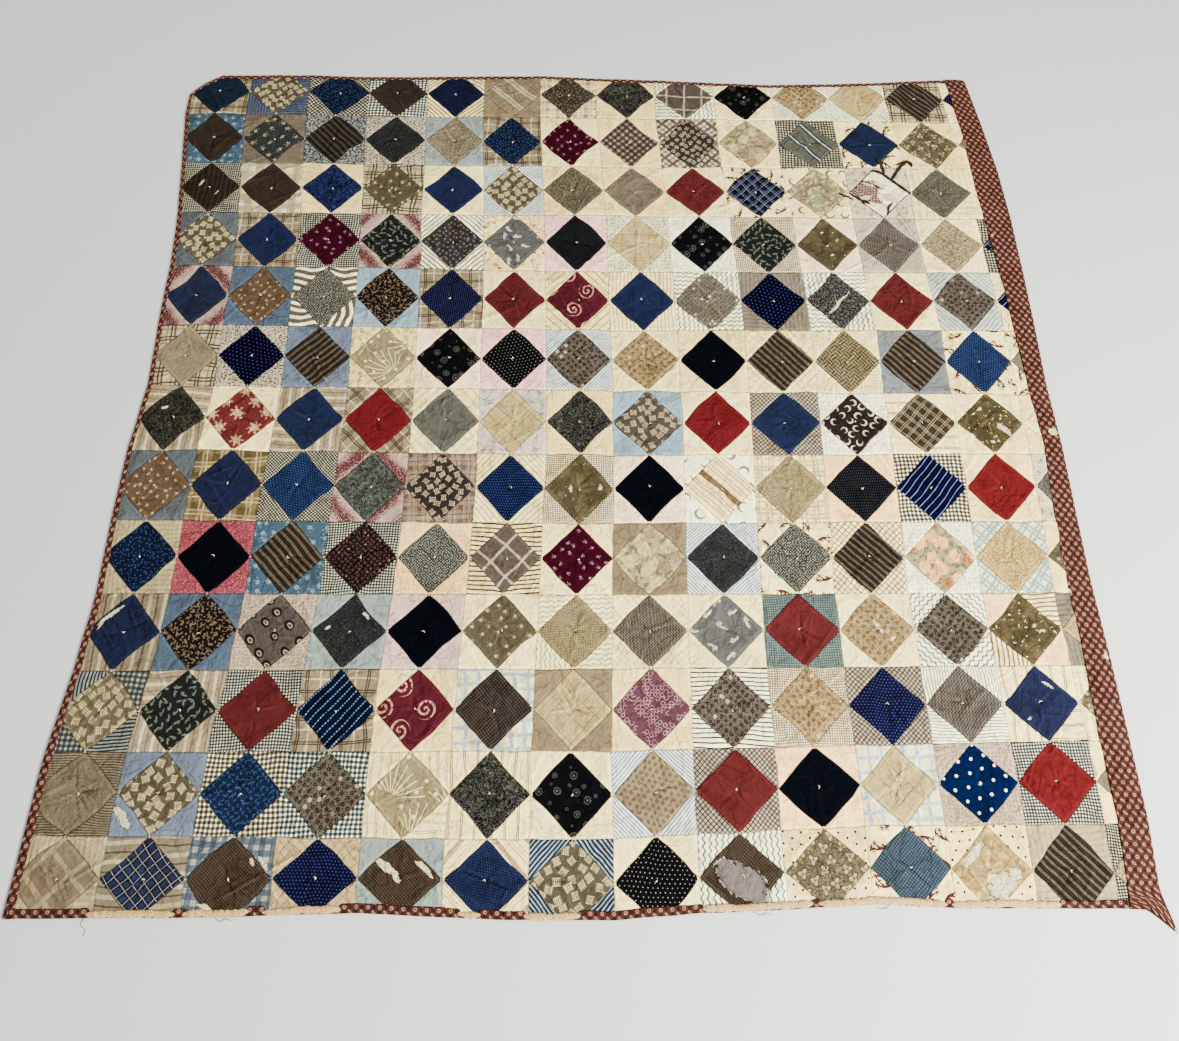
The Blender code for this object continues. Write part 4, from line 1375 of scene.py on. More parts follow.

# %% [markdown]
# ## Age
# New cloth would look wrong.  The same last steps therefore go over every fabric: each patch
# fades on its own, yarns are uneven, the whole quilt has yellowed in clouds, and where a patch has
# torn the wadding shows.  Shade and light are painted in as well: painted shade greys the seam
# ditches, the ridge beside each seam is rubbed pale and carries a painted highlight, the mesh's
# creases take painted shade and its ridges a painted highlight, thin wrinkle lines are painted
# dark, and painted shadow lies in each tie's pit and round the rim of each tear.  The bump holds
# what is too fine for the mesh: the weave, the crinkle of washed cotton and fluffy wadding.

# %% Finishing a cloth
# Multiply tones of painted shade: the first for tie pits and tear rims, the second for wrinkle lines, the third for
# seam ditches.
SOOT, UMBER, GRIME = (0.06, 0.045, 0.035), (0.42, 0.35, 0.27), (0.13, 0.12, 0.11)
YELLOWED, STAINED = (0.92, 0.84, 0.66), (0.62, 0.48, 0.32)


def years(name, patched, frayed):
    """A node group that ages the colour given to it, paints shade and highlights into it, and gives Colour, Roughness
    and Normal.
    It is made once and shared, so a hundred and seventy cottons don't each repeat its nodes."""
    c = Look(name, shared=True)
    for each, side, kind in (("Colour", "INPUT", "Color"), ("Colour", "OUTPUT", "Color"),
                             ("Roughness", "OUTPUT", "Float"), ("Normal", "OUTPUT", "Vector")):
        c.tree.interface.new_socket(each, in_out=side, socket_type="NodeSocket" + kind)

    def darken(share, colour, tone):
        return c.mix(share, colour, tone, "MULTIPLY")

    def thread_line(x, y, size):
        """A thin wandering line, where a noise crosses its middle."""
        return abs(c.noise(x, y, size, 1.0, distort=0.5) - 0.5).under(0.016, 0.045)

    x, y = c.split(c.ground, "X"), c.split(c.ground, "Y")
    yarn = c.noise(c.x, c.y * 0.07, 0.9, 1.0) + c.noise(c.x * 0.07, c.y, 0.9, 1.0) - 1
    light = 0.96 + yarn * 0.30 + (c.noise(c.x, c.y, 34, 3.0) - 0.5) * 0.42
    if patched:
        seam = c.attribute("seam") * 1000
        # Paler in patches on the ridge beside each seam: partly rubbed wear, partly a painted highlight.
        rubbed = seam.over(1.2, 0.8) * seam.under(3.4, 1.6)
        rubbed = rubbed * c.noise(c.x, c.y, 5, 2.0).ramp(0.5, 0.75)
        light = light + (c.attribute("tint") - 0.5) * 0.16 + rubbed * 0.25
        # Painted shade in the mesh's creases and a painted highlight on its ridges, by the fold layer.
        light = light - c.attribute("fold") * 0.9
    colour = c.node("ShaderNodeHueSaturation",
                    sockets={"Color": c.node("NodeGroupInput"), "Value": light})
    colour = darken(c.noise(x, y, 0.16, 2.0).ramp(0.35, 0.8) * 0.35, colour, YELLOWED)
    stain = c.noise(x + 3.1, y, 0.05, 4.0, 0.6).ramp(0.64, 0.74) * 0.4
    colour = darken(stain, colour, STAINED)
    crinkle = c.noise(c.x, c.y, 7, 3.0, 0.55) * 2.0
    crinkle = crinkle + abs(c.noise(c.x + 50, c.y, 16, 1.0) - 0.5) * 4.4
    wrinkle = thread_line(c.x * 0.6, c.y + 20, 46).most(thread_line(c.x + 70, c.y * 0.6, 38))
    wrinkle = wrinkle * c.noise(c.x, c.y + 90, 60, 1.0).ramp(0.36, 0.56)
    # Painted shade along thin wrinkle lines, which the bump also presses in.
    colour = darken(wrinkle * 0.6, colour, UMBER)
    weave = c.wave(c.x, 1.1) * c.wave(c.y, 1.1)
    height = crinkle + weave * 0.10 + yarn * 0.12 - wrinkle * 1.5
    if patched:
        # Painted shade: a grey line along each seam ditch.
        colour = darken(seam.under(0.7, 0.9) * 0.22, colour, GRIME)
        # Painted shadow in the pit round each tie's knot.
        block = c.node("ShaderNodeUVMap", {"uv_map": "block"}, out="UV")
        pit = length(c.split(block, "X") * 1000 - 1.5, c.split(block, "Y") * 1000 + 1.5)
        colour = darken(pit.under(2.6, 1.6) * 0.6, colour, SOOT)
    if frayed:
        ragged = c.attribute("torn") + (c.noise(x, y, 0.008, 4.0, 0.7) - 0.5) * 0.8
        strand = c.noise(c.x, c.y * 0.05, 1.5, 0.0).over(0.60, 0.03) * ragged.under(0.72, 0.1)
        hole = ragged.ramp(0.5, 0.54) * (1 - strand)
        # Painted shadow round the rim of each tear.
        lip = ragged.ramp(0.38, 0.5) - ragged.ramp(0.5, 0.56)
        fluff = c.noise(x, y, 0.005, 4.0, 0.75).ramp(0.25, 0.75)
        lining = c.mix(c.noise(x, y, 0.03, 2.0), dye("#928a86"), dye("#bab0a8"))
        wadding = c.mix(fluff, dye("#cec2a4"), DYES["BATTING"])
        under = c.mix(c.attribute("lining").ramp(0.4, 0.6), wadding, lining)
        colour = c.mix(hole, darken(lip * 0.75, colour, SOOT), under)
        height = height - hole * 1.2 + hole * fluff * 1.4
    roughness = 0.83 + c.noise(c.x, c.y, 12, 1.0) * 0.1
    bump = c.node("ShaderNodeBump", sockets={"Height": height, "Strength": 0.8, "Distance": MM})
    c.node("NodeGroupOutput", out=None,
           sockets={"Colour": colour, "Roughness": roughness, "Normal": bump})
    return c.tree


def aged(c, colour, patched=True, frayed=True):
    """Join a colour to the shader with fading, stains, wear, painted shade and highlights, and a woven, crinkled
    surface.
    """
    name = "years" + "_patched" * patched + "_frayed" * frayed
    group = bpy.data.node_groups.get(name) or years(name, patched, frayed)
    wear = c.node("ShaderNodeGroup", {"node_tree": group}, {"Colour": colour}).socket.node
    for theirs, ours in (("Colour", "Base Color"), ("Roughness", "Roughness"),
                         ("Normal", "Normal")):
        c.tree.links.new(wear.outputs[theirs], c.shader.inputs[ours])
    c.shader.inputs["Specular IOR Level"].default_value = 0.015
    return c.material


def matt(c, colour):
    """Join a colour to the shader of a small piece, dull and without bump."""
    c.tree.links.new(colour.socket, c.shader.inputs["Base Color"])
    c.shader.inputs["Roughness"].default_value = 0.93
    c.shader.inputs["Specular IOR Level"].default_value = 0.015
    return c.material


looks = {}


def cotton(name):
    """The material of one fabric from the scrap bag, made once."""
    if name not in looks:
        kind, *sizes = FABRICS[name]
        c = Look(name)
        looks[name] = aged(c, kind(c, *sizes))
    return looks[name]


# %% Sewing the rows
for row in range(ROWS):
    wanted = []
    look_of = np.zeros((COLUMNS + 1, PATCHES), int)
    turn_of = np.zeros((COLUMNS + 1, PATCHES))
    for col, block in enumerate(plan[row].tolist()):
        diamond, corners = block.split("/")
        first, *other = corners.split(",")
        other = (other or [first])[0]
        names = [diamond, first, other, other, first]
        for patch, each in enumerate(each.rstrip("+-=*^_") for each in names):
            if each not in wanted:
                wanted.append(each)
            look_of[col, patch] = wanted.index(each)
        way = {"+": -45, "-": 45, "=": 0}.get(diamond[-1], chance.choice([-45, 45]))
        lies = {"*": [-45, 45, 45, -45], "^": [0] * 4, "_": [90] * 4}
        turn_of[col] = [way, *lies.get(first[-1], chance.choice([0, 90], 4))]
    piece = row_piece(row, [cotton(each) for each in wanted], look_of, turn_of)
    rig.slot(piece, "patchwork")
    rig.replaces(piece, "quilted_body")
    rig.sheet(piece, flat=(2.02, 0.15), held="laid", rests_on=["backing_sheet"])
print("rows sewn, fabrics used:", len(looks))

# %% [markdown]
# ## Cloth carried along an edge
# The hems and the band are strips of the backing turned over an edge.  Each is a section, drawn
# once as a line of points, carried along its edge; the inner face is the outer one moved in along
# its normal.  The strip's bake map cuts its length into laps, laid one under the other, so that a
# strip two metres long and three centimetres wide still fills a square image.

# %% A strip with two faces
def carried(name, outer, thickness, laps, looks, layers=None, sign=1):
    """A closed strip from its outer face (n along, m across, 3).  thickness is one number or one
    for each point across; sign is -1 where along × across points inwards."""
    n, m = outer.shape[:2]
    normal = np.cross(np.gradient(outer, axis=0), np.gradient(outer, axis=1)) * sign
    normal /= np.maximum(np.linalg.norm(normal, axis=2, keepdims=True), 1e-12)
    inner = outer - normal * np.broadcast_to(thickness, (n, m))[..., None]
    index = np.arange(n * m).reshape(n, m)
    under = index + n * m
    per = -(-(n - 1) // laps)
    run = np.r_[0, np.cumsum(np.linalg.norm(np.diff(outer, axis=0), axis=2).mean(1))]
    wide = np.cumsum(np.linalg.norm(np.diff(outer, axis=1, prepend=outer[:, :1]), axis=2), axis=1)
    cloth = np.stack([wide, np.broadcast_to(run[:, None], (n, m))], -1).reshape(-1, 2)

    def faces(ring, place, flip):
        """One part: its corners and their places on the bake map, turned over if flip."""
        ring = np.stack([r.ravel() for r in ring], -1)
        if flip:
            ring, place = ring[:, ::-1], place[:, ::-1]
        return dict(corners=ring, OFBake=place, cloth=cloth[ring % (n * m)])

    def laid(i, low, high, j, steps):
        """Bake places of faces i along and j across, between two heights of their lap."""
        at = i % per
        x = 0.005 + 0.99 * np.stack([at, at + 1, at + 1, at], -1) / per
        y = low + (high - low) * np.stack([j, j, j + 1, j + 1], -1) / steps
        return np.stack([x, ((i // per)[..., None] + y) / (laps + 1)], -1).reshape(-1, 4, 2)

    i, j = np.meshgrid(np.arange(n - 1), np.arange(m - 1), indexing="ij")
    quad = [index[:-1, :-1], index[1:, :-1], index[1:, 1:], index[:-1, 1:]]
    parts = [faces(quad, laid(i, 0.02, 0.66, j, m - 1), sign < 0),
             faces([q + n * m for q in quad], laid(i, 0.69, 0.88, j, m - 1), sign > 0)]
    i, j = np.arange(n - 1), np.arange(m - 1)
    for edge, low, flip in ((0, 0.90, sign < 0), (m - 1, 0.95, sign > 0)):
        ring = [index[:-1, edge], under[:-1, edge], under[1:, edge], index[1:, edge]]
        parts.append(faces(ring, laid(i, low, low + 0.03, 0 * i, 1)[:, [0, 3, 2, 1]], flip))
    for end, low, flip in ((0, 0.1, sign < 0), (n - 1, 0.5, sign > 0)):
        ring = [index[end, :-1], index[end, 1:], under[end, 1:], under[end, :-1]]
        x = 0.02 + 0.9 * np.stack([j, j + 1, j + 1, j], -1) / m
        y = (laps + low + 0.2 * np.array([0.0, 0, 1, 1]) + 0 * x) / (laps + 1)
        parts.append(faces(ring, np.stack([x, y], -1), flip))
    layers = {key: np.tile(values.ravel(), 2) for key, values in (layers or {}).items()}
    points = np.concatenate([outer.reshape(-1, 3), inner.reshape(-1, 3)])
    return new_piece(name, points, parts, layers, looks)


# %% The backing's print
def print_look(name, frayed):
    c = Look(name)
    print_ = lozenges(c, dye("#74463b"), dye("#502a24"), dye("#d6b09a"), dye("#845646"))
    return aged(c, print_, patched=False, frayed=frayed)


hem_print = print_look("backing_print", True)
plain_print = print_look("backing_print_under", False)

# %% [markdown]
# ## The backing, its hems and the band
# The sheet under the quilt is a flat slab of cloth.  The hems are U-shaped: in under the quilt,
# round the edge, and ten to eighteen millimetres over the front.  Their inner edge wanders, as
# turned edges sewn by hand do.  Along the bottom the hem has worn through in long stretches:
# there it is drawn back, and a roll of wadding shows.

# %% The sheet under the quilt
SHEET = 81                  # points to a side
HEM_INSIDE = 9.8 * MM       # how far a hem reaches in under the quilt
t, s = np.meshgrid(np.linspace(0, 1, SHEET), np.linspace(0, 1, SHEET), indexing="ij")
left = seam_x(0 * t, t * ROWS) + HEM_INSIDE
right = along(FOLD, t * ROWS, MIDDLE[0]) - FOLD_RADIUS - 6 * MM
high = trimmed(TOP_EDGE, 0.065 + s * 13.435) - HEM_INSIDE
low = trimmed(BOTTOM_EDGE, s * 13.5) + HEM_INSIDE
upper = np.stack([left + (right - left) * s, high + (low - high) * t, np.full_like(t, CLOTH)], -1)
upper = upper.reshape(-1, 3)
face = grid_corners(SHEET, SHEET)
index = np.arange(SHEET ** 2).reshape(SHEET, SHEET)
rim = np.r_[index[0, :-1], index[:-1, -1], index[-1, :0:-1], index[:0:-1, 0]]
following = np.roll(rim, -1)
square = np.stack([s, 1 - t], -1).reshape(-1, 2)
walk = np.linspace(0, 1, len(rim), endpoint=False)
walk = np.stack([walk, walk + 1 / len(rim), walk + 1 / len(rim), walk], -1)
wall_map = np.stack([0.76 + 0.23 * walk, 0.01 + 0.06 * np.array([0.0, 0, 1, 1]) + 0 * walk], -1)


def sheet_part(corners, places):
    """Faces of the sheet, whose cloth is laid out as it lies."""
    return dict(corners=corners, cloth=upper[corners % SHEET ** 2][..., :2], OFBake=places)


backing_sheet = new_piece("backing_sheet", np.concatenate([upper, upper * [1, 1, 0]]), [
    sheet_part(face, [0.01, 0.01] + square[face] * [0.72, 0.06]),
    sheet_part(face[:, ::-1] + SHEET ** 2, [0.01, 0.09] + square[face[:, ::-1]] * [0.98, 0.9]),
    sheet_part(np.stack([rim, following, following + SHEET ** 2, rim + SHEET ** 2], -1), wall_map)],
    looks=[plain_print])
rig.slot(backing_sheet, "backing_print")
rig.replaces(backing_sheet, "backing")

# %% The three hems
WORN = ((0.95, 1.95), (2.05, 2.80), (2.95, 3.85), (5.2, 5.45), (5.95, 6.6), (8.0, 9.3),
        (9.36, 10.9), (10.96, 12.3))


def worn_through(across):
    """1 along the worn stretches of the bottom hem, with soft ends."""
    return np.max([smooth(across, first, first + 0.07) * (1 - smooth(across, last - 0.07, last))
                   for first, last in WORN], axis=0)


def hem_section(reach, rise):
    """(inwards, up) of hems, one for each place along: under, round the edge, over by reach."""
    radius = HEM_HEIGHT / 2
    turn = np.radians(np.linspace(-90, -270, 12))
    d = np.r_[HEM_INSIDE, 6.0 * MM, radius + radius * np.cos(turn)]
    z = np.r_[0, 0, radius + radius * np.sin(turn)]
    d, z = (np.broadcast_to(each, (len(reach), 14)) for each in (d, z))
    over = np.linspace(0.25, 1, 5)
    top_d = radius + (reach[:, None] - radius) * over
    top_z = HEM_HEIGHT + rise[:, None] * over - 0.5 * MM * (over > 0.95)
    return np.concatenate([d, top_d], 1), np.concatenate([z, top_z], 1)


def hem(name, start, end, edge_of, axis, inward, sign, widths):
    """A hem along x (axis 0) or y (axis 1) from start to end, whose edge lies at edge_of(place).
    widths are its reach over the front in millimetres, evenly spread from start to end."""
    place = np.linspace(start, end, 1 + 8 * int(abs(end - start) / 0.0036 / 8))

    def wanders(size, seed):
        return wander(place, 0 * place, size, seed)

    edge = edge_of(place) + 0.9 * MM * wanders(0.05, 61 + axis)
    worn = np.zeros(len(place))
    if name == "hem_bottom":
        worn = worn_through(across_at(place, ROWS))
    share = np.linspace(0, 1, len(place))
    wide = MM * np.interp(share, np.linspace(0, 1, len(widths)), widths)
    reach = (wide + 1.3 * MM * wanders(0.03, 64 + axis)) * (1 - worn)
    reach = reach + worn * MM * (3.0 + 0.9 * wanders(0.006, 63))
    d, z = hem_section(reach, 0.5 * MM * wanders(0.045, 66) * (1 - worn) - 1.6 * MM * worn)
    across = edge[:, None] + inward * d
    along_it = np.broadcast_to(place[:, None], d.shape)
    if axis == 1:                       # the side hem starts along the worn corner's slope
        first = trim_at(across[0], TOP_EDGE, 0)
        along_it = first + (place[-1] - first) * share[:, None]
    outer = np.stack([along_it, across, z] if axis == 0 else [across, along_it, z], -1)
    frayed = (0.35 * smooth(wander(along_it, across, 0.02, 67), 0.35, 0.8)
              + 0.45 * worn[:, None] * (z > 4 * MM))
    piece = carried(name, outer, CLOTH, 8, [hem_print], {"torn": np.clip(frayed, 0, 1)}, sign)
    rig.slot(piece, "backing_print")
    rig.replaces(piece, "backing")
    return piece


fold_top, fold_low = FOLD[0] - MIDDLE[0], FOLD[-1] - MIDDLE[0]
rows = np.arange(ROWS + 1.0)
hem_left = hem("hem_left", trimmed(TOP_EDGE, 0), trimmed(BOTTOM_EDGE, 0),
               lambda y: np.interp(-y, -seam_y(0 * rows, rows), seam_x(0 * rows, rows)),
               1, 1, 1, (9, 10, 11, 14, 18))
hem_top = hem("hem_top", seam_x(0, 0) + 9.4 * MM, fold_top - 9 * MM,
              lambda x: trim_at(x, TOP_EDGE, 0), 0, -1, -1, (10, 10))
hem_bottom = hem("hem_bottom", seam_x(0, ROWS) + 9.4 * MM, fold_low - 9 * MM,
                 lambda x: trim_at(x, BOTTOM_EDGE, ROWS), 0, 1, 1, (16, 15, 14))
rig.sheet(backing_sheet, flat=(1.99, 1.90), held="laid")
for piece, flat in ((hem_left, (0.028, 1.84)), (hem_top, (0.025, 2.03)),
                    (hem_bottom, (0.028, 2.02))):
    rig.sheet(piece, flat=flat, held="folded", rests_on=["backing_sheet"])

# %% [markdown]
# ## The folded margin
# On the right the whole quilt is folded over onto its front.  The backing goes round the fold and
# lies on top as a band, and the margin's own patchwork and wadding make the same turn inside it.
# The bottom corner of the fold is drawn out to a point.

# %% The band over the fold
# Tears in it: place down, from and to across (0 inner edge, 1 fold), half length in millimetres.
BAND_TEARS = [(6.78, 0.45, 1.0, 9), (10.02, 0.80, 1.1, 8), (3.3, 0.1, 0.2, 3),
              (9.15, -0.1, 0.12, 5)]
BAND_ROWS, ROLL_ROWS = 449, 161
END = 12 * MM               # how far the ends take to round shut


def band_face(down, grow=0.0):
    """The band's outer face at rows `down`: (n, m) arrays of x and z, and w from 0 at its inner
    edge to 1 at the fold.  Under the quilt, round the fold, over it, and a curl at the edge."""
    fold = along(FOLD, down, MIDDLE[0])[:, None] - FOLD_RADIUS
    edge = (along(BAND_EDGE, down, MIDDLE[0])
            + MM * 1.4 * wander(down, 0 * down, 0.35, 71))[:, None]
    radius = FOLD_RADIUS - grow
    turn = np.radians(np.linspace(-90, 90, 15))
    w = np.linspace(0.94, 0.03, 24)
    curl, curl_r = np.radians(np.linspace(100, 230, 7)), max(1.5 * MM - grow / 2, 0.4 * MM)
    x = np.concatenate([fold + MM * np.array([-24, -16, -8]), fold + radius * np.cos(turn),
                        edge + (fold - edge) * w, edge + 1.5 * MM + curl_r * np.cos(curl)], 1)
    z = np.r_[np.full(3, grow), FOLD_RADIUS + radius * np.sin(turn),
              7.9 * MM - grow + 3.9 * MM * smooth(w, 0, 0.7), 6.5 * MM + curl_r * np.sin(curl)]
    return x, np.broadcast_to(z, x.shape), np.clip((x - edge) / (fold - edge), 0, 1)


def close_ends(x, y, z):
    """Points of a folded section whose ends are rounded shut, with its lower outer corner drawn
    out to the tail: the pull grows with the 1.4th power of the place across."""
    mid = 5.7 * MM
    for away in (y[:1] - y, y - y[-1:]):
        z = mid + (z - mid) * (1 - 0.55 * (1 - smooth(away, 0, END)) ** 2)
    fold = x.max(1, keepdims=True)
    pull = np.clip((x - (fold - 30 * MM)) / (30 * MM), 0, 1) ** 1.4
    pull = pull * (1 - smooth(y - y[-1:], 0, 0.036))
    return np.stack([x + TAIL_REACH[0] * pull, y + TAIL_REACH[1] * pull,
                     np.maximum(z * (1 - 0.45 * pull), 0)], -1)


down = np.linspace(0, ROWS, BAND_ROWS)
x, z, w = band_face(down)
top_y, low_y = trim_at(x[0], TOP_EDGE, 0), trim_at(x[-1], BOTTOM_EDGE, ROWS)
y = top_y + (low_y - top_y) * np.linspace(0, 1, BAND_ROWS)[:, None]
upper_leaf = np.arange(x.shape[1]) > 17
ripple = 0.7 * wander(x * 2.2, y, 0.05, 73) + 0.45 * wander(x + y, y * 0.5, 0.02, 74)
z = z + MM * ripple * upper_leaf * smooth(w, 0.02, 0.2)
hole = np.zeros(x.shape)
for place, first, last, reach in BAND_TEARS:
    lengthwise = np.abs(down[:, None] - place) * BLOCK / (reach * MM)
    breadth = np.abs(w - (first + last) / 2) / ((last - first) / 2)
    hole = np.maximum(hole, np.clip(1.5 - np.hypot(lengthwise, breadth ** 2), 0, 1))
z = z - MM * 1.2 * smooth(hole, 0.4, 0.8) * upper_leaf
band = carried("band", close_ends(x, y, z), CLOTH, 4, [hem_print],
               {"torn": hole * upper_leaf}, -1)
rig.slot(band, "backing_print")
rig.sheet(band, flat=(0.096, 1.92), held="folded", rests_on=["row_05"])
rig.replaces(band, "backing")

# %% The margin inside the fold
within = slice(3, -5)
x, z, w = (each[:, within] for each in band_face(np.linspace(0, ROWS, ROLL_ROWS),
                                                 CLOTH + 0.3 * MM))
share = np.linspace(0, 1, ROLL_ROWS)[:, None]
y = top_y[within] + (low_y - top_y)[within] * share + (8 * share - 4) * MM
loft = 0.6 * MM + 2.7 * MM * smooth(w, 0.02, 0.5)
c = Look("margin_cotton")
margin_cotton = matt(c, stripes(c, DYES["IVORY"], dye("#d6c8a6"), 9, 3))
margin_roll = carried("margin_roll", close_ends(x, y, z), loft, 4, [margin_cotton], sign=-1)
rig.slot(margin_roll, "wadding")
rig.replaces(margin_roll, "quilted_body")
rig.padded(margin_roll, fill=0.5)
print("band and margin carried round the fold")

# %% [markdown]
# ## Wadding at the worn edge
# Where the bottom hem has worn through, the cotton wadding bulges out in lumps.  Each stretch is
# a tube whose radius wanders along and round it, closed at both ends by shrinking.

# %% Lumps of wadding
def end_caps(rings, sides):
    """The first and the last ring of a stack, as faces that look outwards."""
    ring = np.arange(sides)
    return [ring[None], ring[None, ::-1] + (rings - 1) * sides]


def lumpy_tube(path, radius, sides=12, squash=0.8, lumps=0.35, seed=81):
    """Points and faces of a tube along a path (n, 3): radius times 1 + lumps·noise, shrunk to
    nothing at both ends and flattened by squash."""
    n = len(path)
    forward = np.gradient(path, axis=0)
    forward /= np.linalg.norm(forward, axis=1, keepdims=True)
    beside = np.cross(forward, [0, 0, 1.0])
    turn = np.linspace(0, 2 * math.pi, sides, endpoint=False)
    run = np.r_[0, np.cumsum(np.linalg.norm(np.diff(path, axis=0), axis=1))][:, None]
    wide = np.sqrt(np.clip(np.minimum(run, run[-1] - run) / (3 * radius), 0.003, 1))
    noise = wander(run + 0 * turn, 0.004 * np.cos(turn) + 0 * run + 0.003 * turn * (turn < 3.2),
                   0.005, seed)
    ring = radius * wide * (1 + lumps * noise)
    points = (path[:, None] + beside[:, None] * (ring * np.cos(turn))[..., None]
              + np.cross(beside, forward)[:, None] * (squash * ring * np.sin(turn))[..., None])
    return points.reshape(-1, 3), grid_corners(n, sides, wrap=True), end_caps(n, sides)


def joined(shapes):
    """Several (points, quads, caps) as one list of points and one list of parts."""
    points, parts, base = [], [], 0
    for shape_points, quads, caps in shapes:
        points.append(shape_points)
        parts += [dict(corners=each + base) for each in (quads, *caps)]
        base += len(shape_points)
    return np.concatenate(points), parts


def fluffy(name, light, dark):
    """Cotton with no print: fluffy clouds of light and dark."""
    c = Look(name)
    x, y = c.split(c.ground, "X") * 1000, c.split(c.ground, "Y") * 1000
    return matt(c, c.mix(c.noise(x, y, 2.4, 4.0, 0.7).ramp(0.3, 0.7), dye(dark), dye(light)))


def bottom_x(across):
    """X of places across, on the lowest row seam."""
    return np.interp(across, SEAMS, seam_x(SEAMS, ROWS))


stretches = []
for number, (first, last) in enumerate(WORN):
    x = bottom_x(np.linspace(first - 0.02, last + 0.02, int((last - first) * 75)))
    y = trim_at(x, BOTTOM_EDGE, ROWS) + MM * (6.4 + 1.6 * wander(x, 0 * x, 0.03, 82))
    z = MM * (4.2 + 0.4 * wander(x, 0 * x, 0.012, 83))
    stretches.append(lumpy_tube(np.stack([x, y, z], -1), 6 * MM, 16, 0.52, 0.22, 84 + number))
edge_wadding = new_piece("edge_wadding", *joined(stretches),
                         looks=[fluffy("wadding_fluff", "#ecdebe", "#b09870")])
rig.slot(edge_wadding, "wadding")
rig.replaces(edge_wadding, "quilted_body")
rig.padded(edge_wadding, fill=0.3)
print("worn stretches:", len(stretches))

# %% [markdown]
# ## Ties
# A tie is a stitch of thick cotton through all the layers, knotted on top with its two ends cut
# short.  One tie is a squashed ball and two tapered tails; numpy turns, stretches and places a
# copy of it on every block, and smaller tufts where the tips of the diamonds meet.

# %% One tie, many times over
def ball(rings=6, sides=8):
    """A unit ball as rings of points from pole to pole: (sin a·cos b, sin a·sin b, cos a)."""
    a, b = np.meshgrid(np.linspace(0.12, math.pi - 0.12, rings),
                       np.linspace(0, 2 * math.pi, sides, endpoint=False), indexing="ij")
    points = np.stack([np.sin(a) * np.cos(b), np.sin(a) * np.sin(b), np.cos(a)], -1)
    return points.reshape(-1, 3), grid_corners(rings, sides, wrap=True), end_caps(rings, sides)


def tail(reach, spread):
    """A thin tapered tail from the knot, bending aside as it falls to the cloth."""
    t = np.linspace(0, 1, 6)
    path = np.stack([reach * t, spread * t ** 2, 1.2 + 0.8 * np.sin(2.4 * t) - 1.1 * t ** 2], -1)
    return lumpy_tube(path * MM, 0.45 * MM, sides=5, squash=1, lumps=0.1)


def copies(shape, places, turns, sizes):
    """A shape at many places, each turned about Z and scaled: (points, quads, caps)."""
    points, quads, caps = shape
    c, s = np.cos(turns)[:, None], np.sin(turns)[:, None]
    x, y, z = np.moveaxis(points[None] * sizes[:, None, :], -1, 0)
    moved = np.stack([c * x - s * y, s * x + c * y, z], -1) + places[:, None]
    shift = (np.arange(len(places)) * len(points))[:, None, None]
    quads, *caps = ((each + shift).reshape(-1, each.shape[1]) for each in (quads, *caps))
    return moved.reshape(-1, 3), quads, caps


def on_top(u, v, above):
    """Points on the quilt's top at places (u, v), raised a little."""
    x, y = pieced(u, v)
    return np.stack([x, y, relief(u, v, x, y) + above], -1)


TUFTED = 0.62               # the share of tips with a tuft
chance = np.random.default_rng(1912)
col, row = (g.ravel() + 0.5 for g in np.meshgrid(np.arange(COLUMNS), np.arange(ROWS)))
count = col.size
col, row = (each + chance.normal(0, 0.012, count) for each in (col, row))
tied = on_top(col, row, 0.8 * MM)
turns = chance.uniform(0, 2 * math.pi, count)
shapes = [copies(ball(), tied, turns,
                 MM * chance.uniform([1.8, 1.1, 1.0], [2.8, 1.6, 1.5], (count, 3)))]
for reach, spread, more in ((4.6, 1.8, 0.5), (3.8, -1.4, 3.3)):
    sizes = np.ones((count, 3)) * chance.uniform(0.7, 1.15, (count, 1))
    shapes.append(copies(tail(reach, spread), tied, turns + more, sizes))
sides_u = np.r_[np.repeat(np.arange(1, 14), 13), np.tile(np.arange(13) + 0.5, 12)]
sides_v = np.r_[np.tile(np.arange(13) + 0.5, 13), np.repeat(np.arange(1, 13), 13)]
shown = chance.random(sides_u.size) < TUFTED
tips = on_top(sides_u[shown], sides_v[shown], 0.5 * MM)
turns = chance.uniform(0, 6.28, len(tips))
sizes = MM * chance.uniform([1.2, 0.8, 0.8], [2.6, 1.5, 1.3], (len(tips), 3))
shapes.append(copies(ball(5, 6), tips, turns, sizes))
ties = new_piece("ties", *joined(shapes), looks=[fluffy("tie_cotton", "#f4f0e4", "#cec4aa")])
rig.slot(ties, "tie_cotton")
print("ties:", len(tied), "tufts:", len(tips), "faces:", len(ties.data.polygons))

# %% Loose threads from the worn hem
def through(points):
    """A smooth path through points, 12 steps between each two: the cubic that leaves every point
    towards the next but one."""
    knots = np.array(points, float)
    t = np.linspace(0, len(knots) - 1, 12 * len(knots))
    i = np.minimum(t.astype(int), len(knots) - 2)
    p = knots[np.clip([i - 1, i, i + 1, i + 2], 0, len(knots) - 1)]
    f = (t - i)[:, None]
    return 0.5 * (2 * p[1] + (p[2] - p[0]) * f + (2 * p[0] - 5 * p[1] + 4 * p[2] - p[3]) * f ** 2
                  + (3 * p[1] - p[0] - 3 * p[2] + p[3]) * f ** 3)


def thread(across, *points):
    """A thread from the bottom edge that lies on the floor, through points in millimetres."""
    x = bottom_x(across)
    start = [x, float(trim_at(x, BOTTOM_EDGE, ROWS)) + 1.5 * MM, 0]
    return lumpy_tube(through([(0, 0, 3.5), *points]) * MM + start, 0.45 * MM, 6, 1, 0.05)


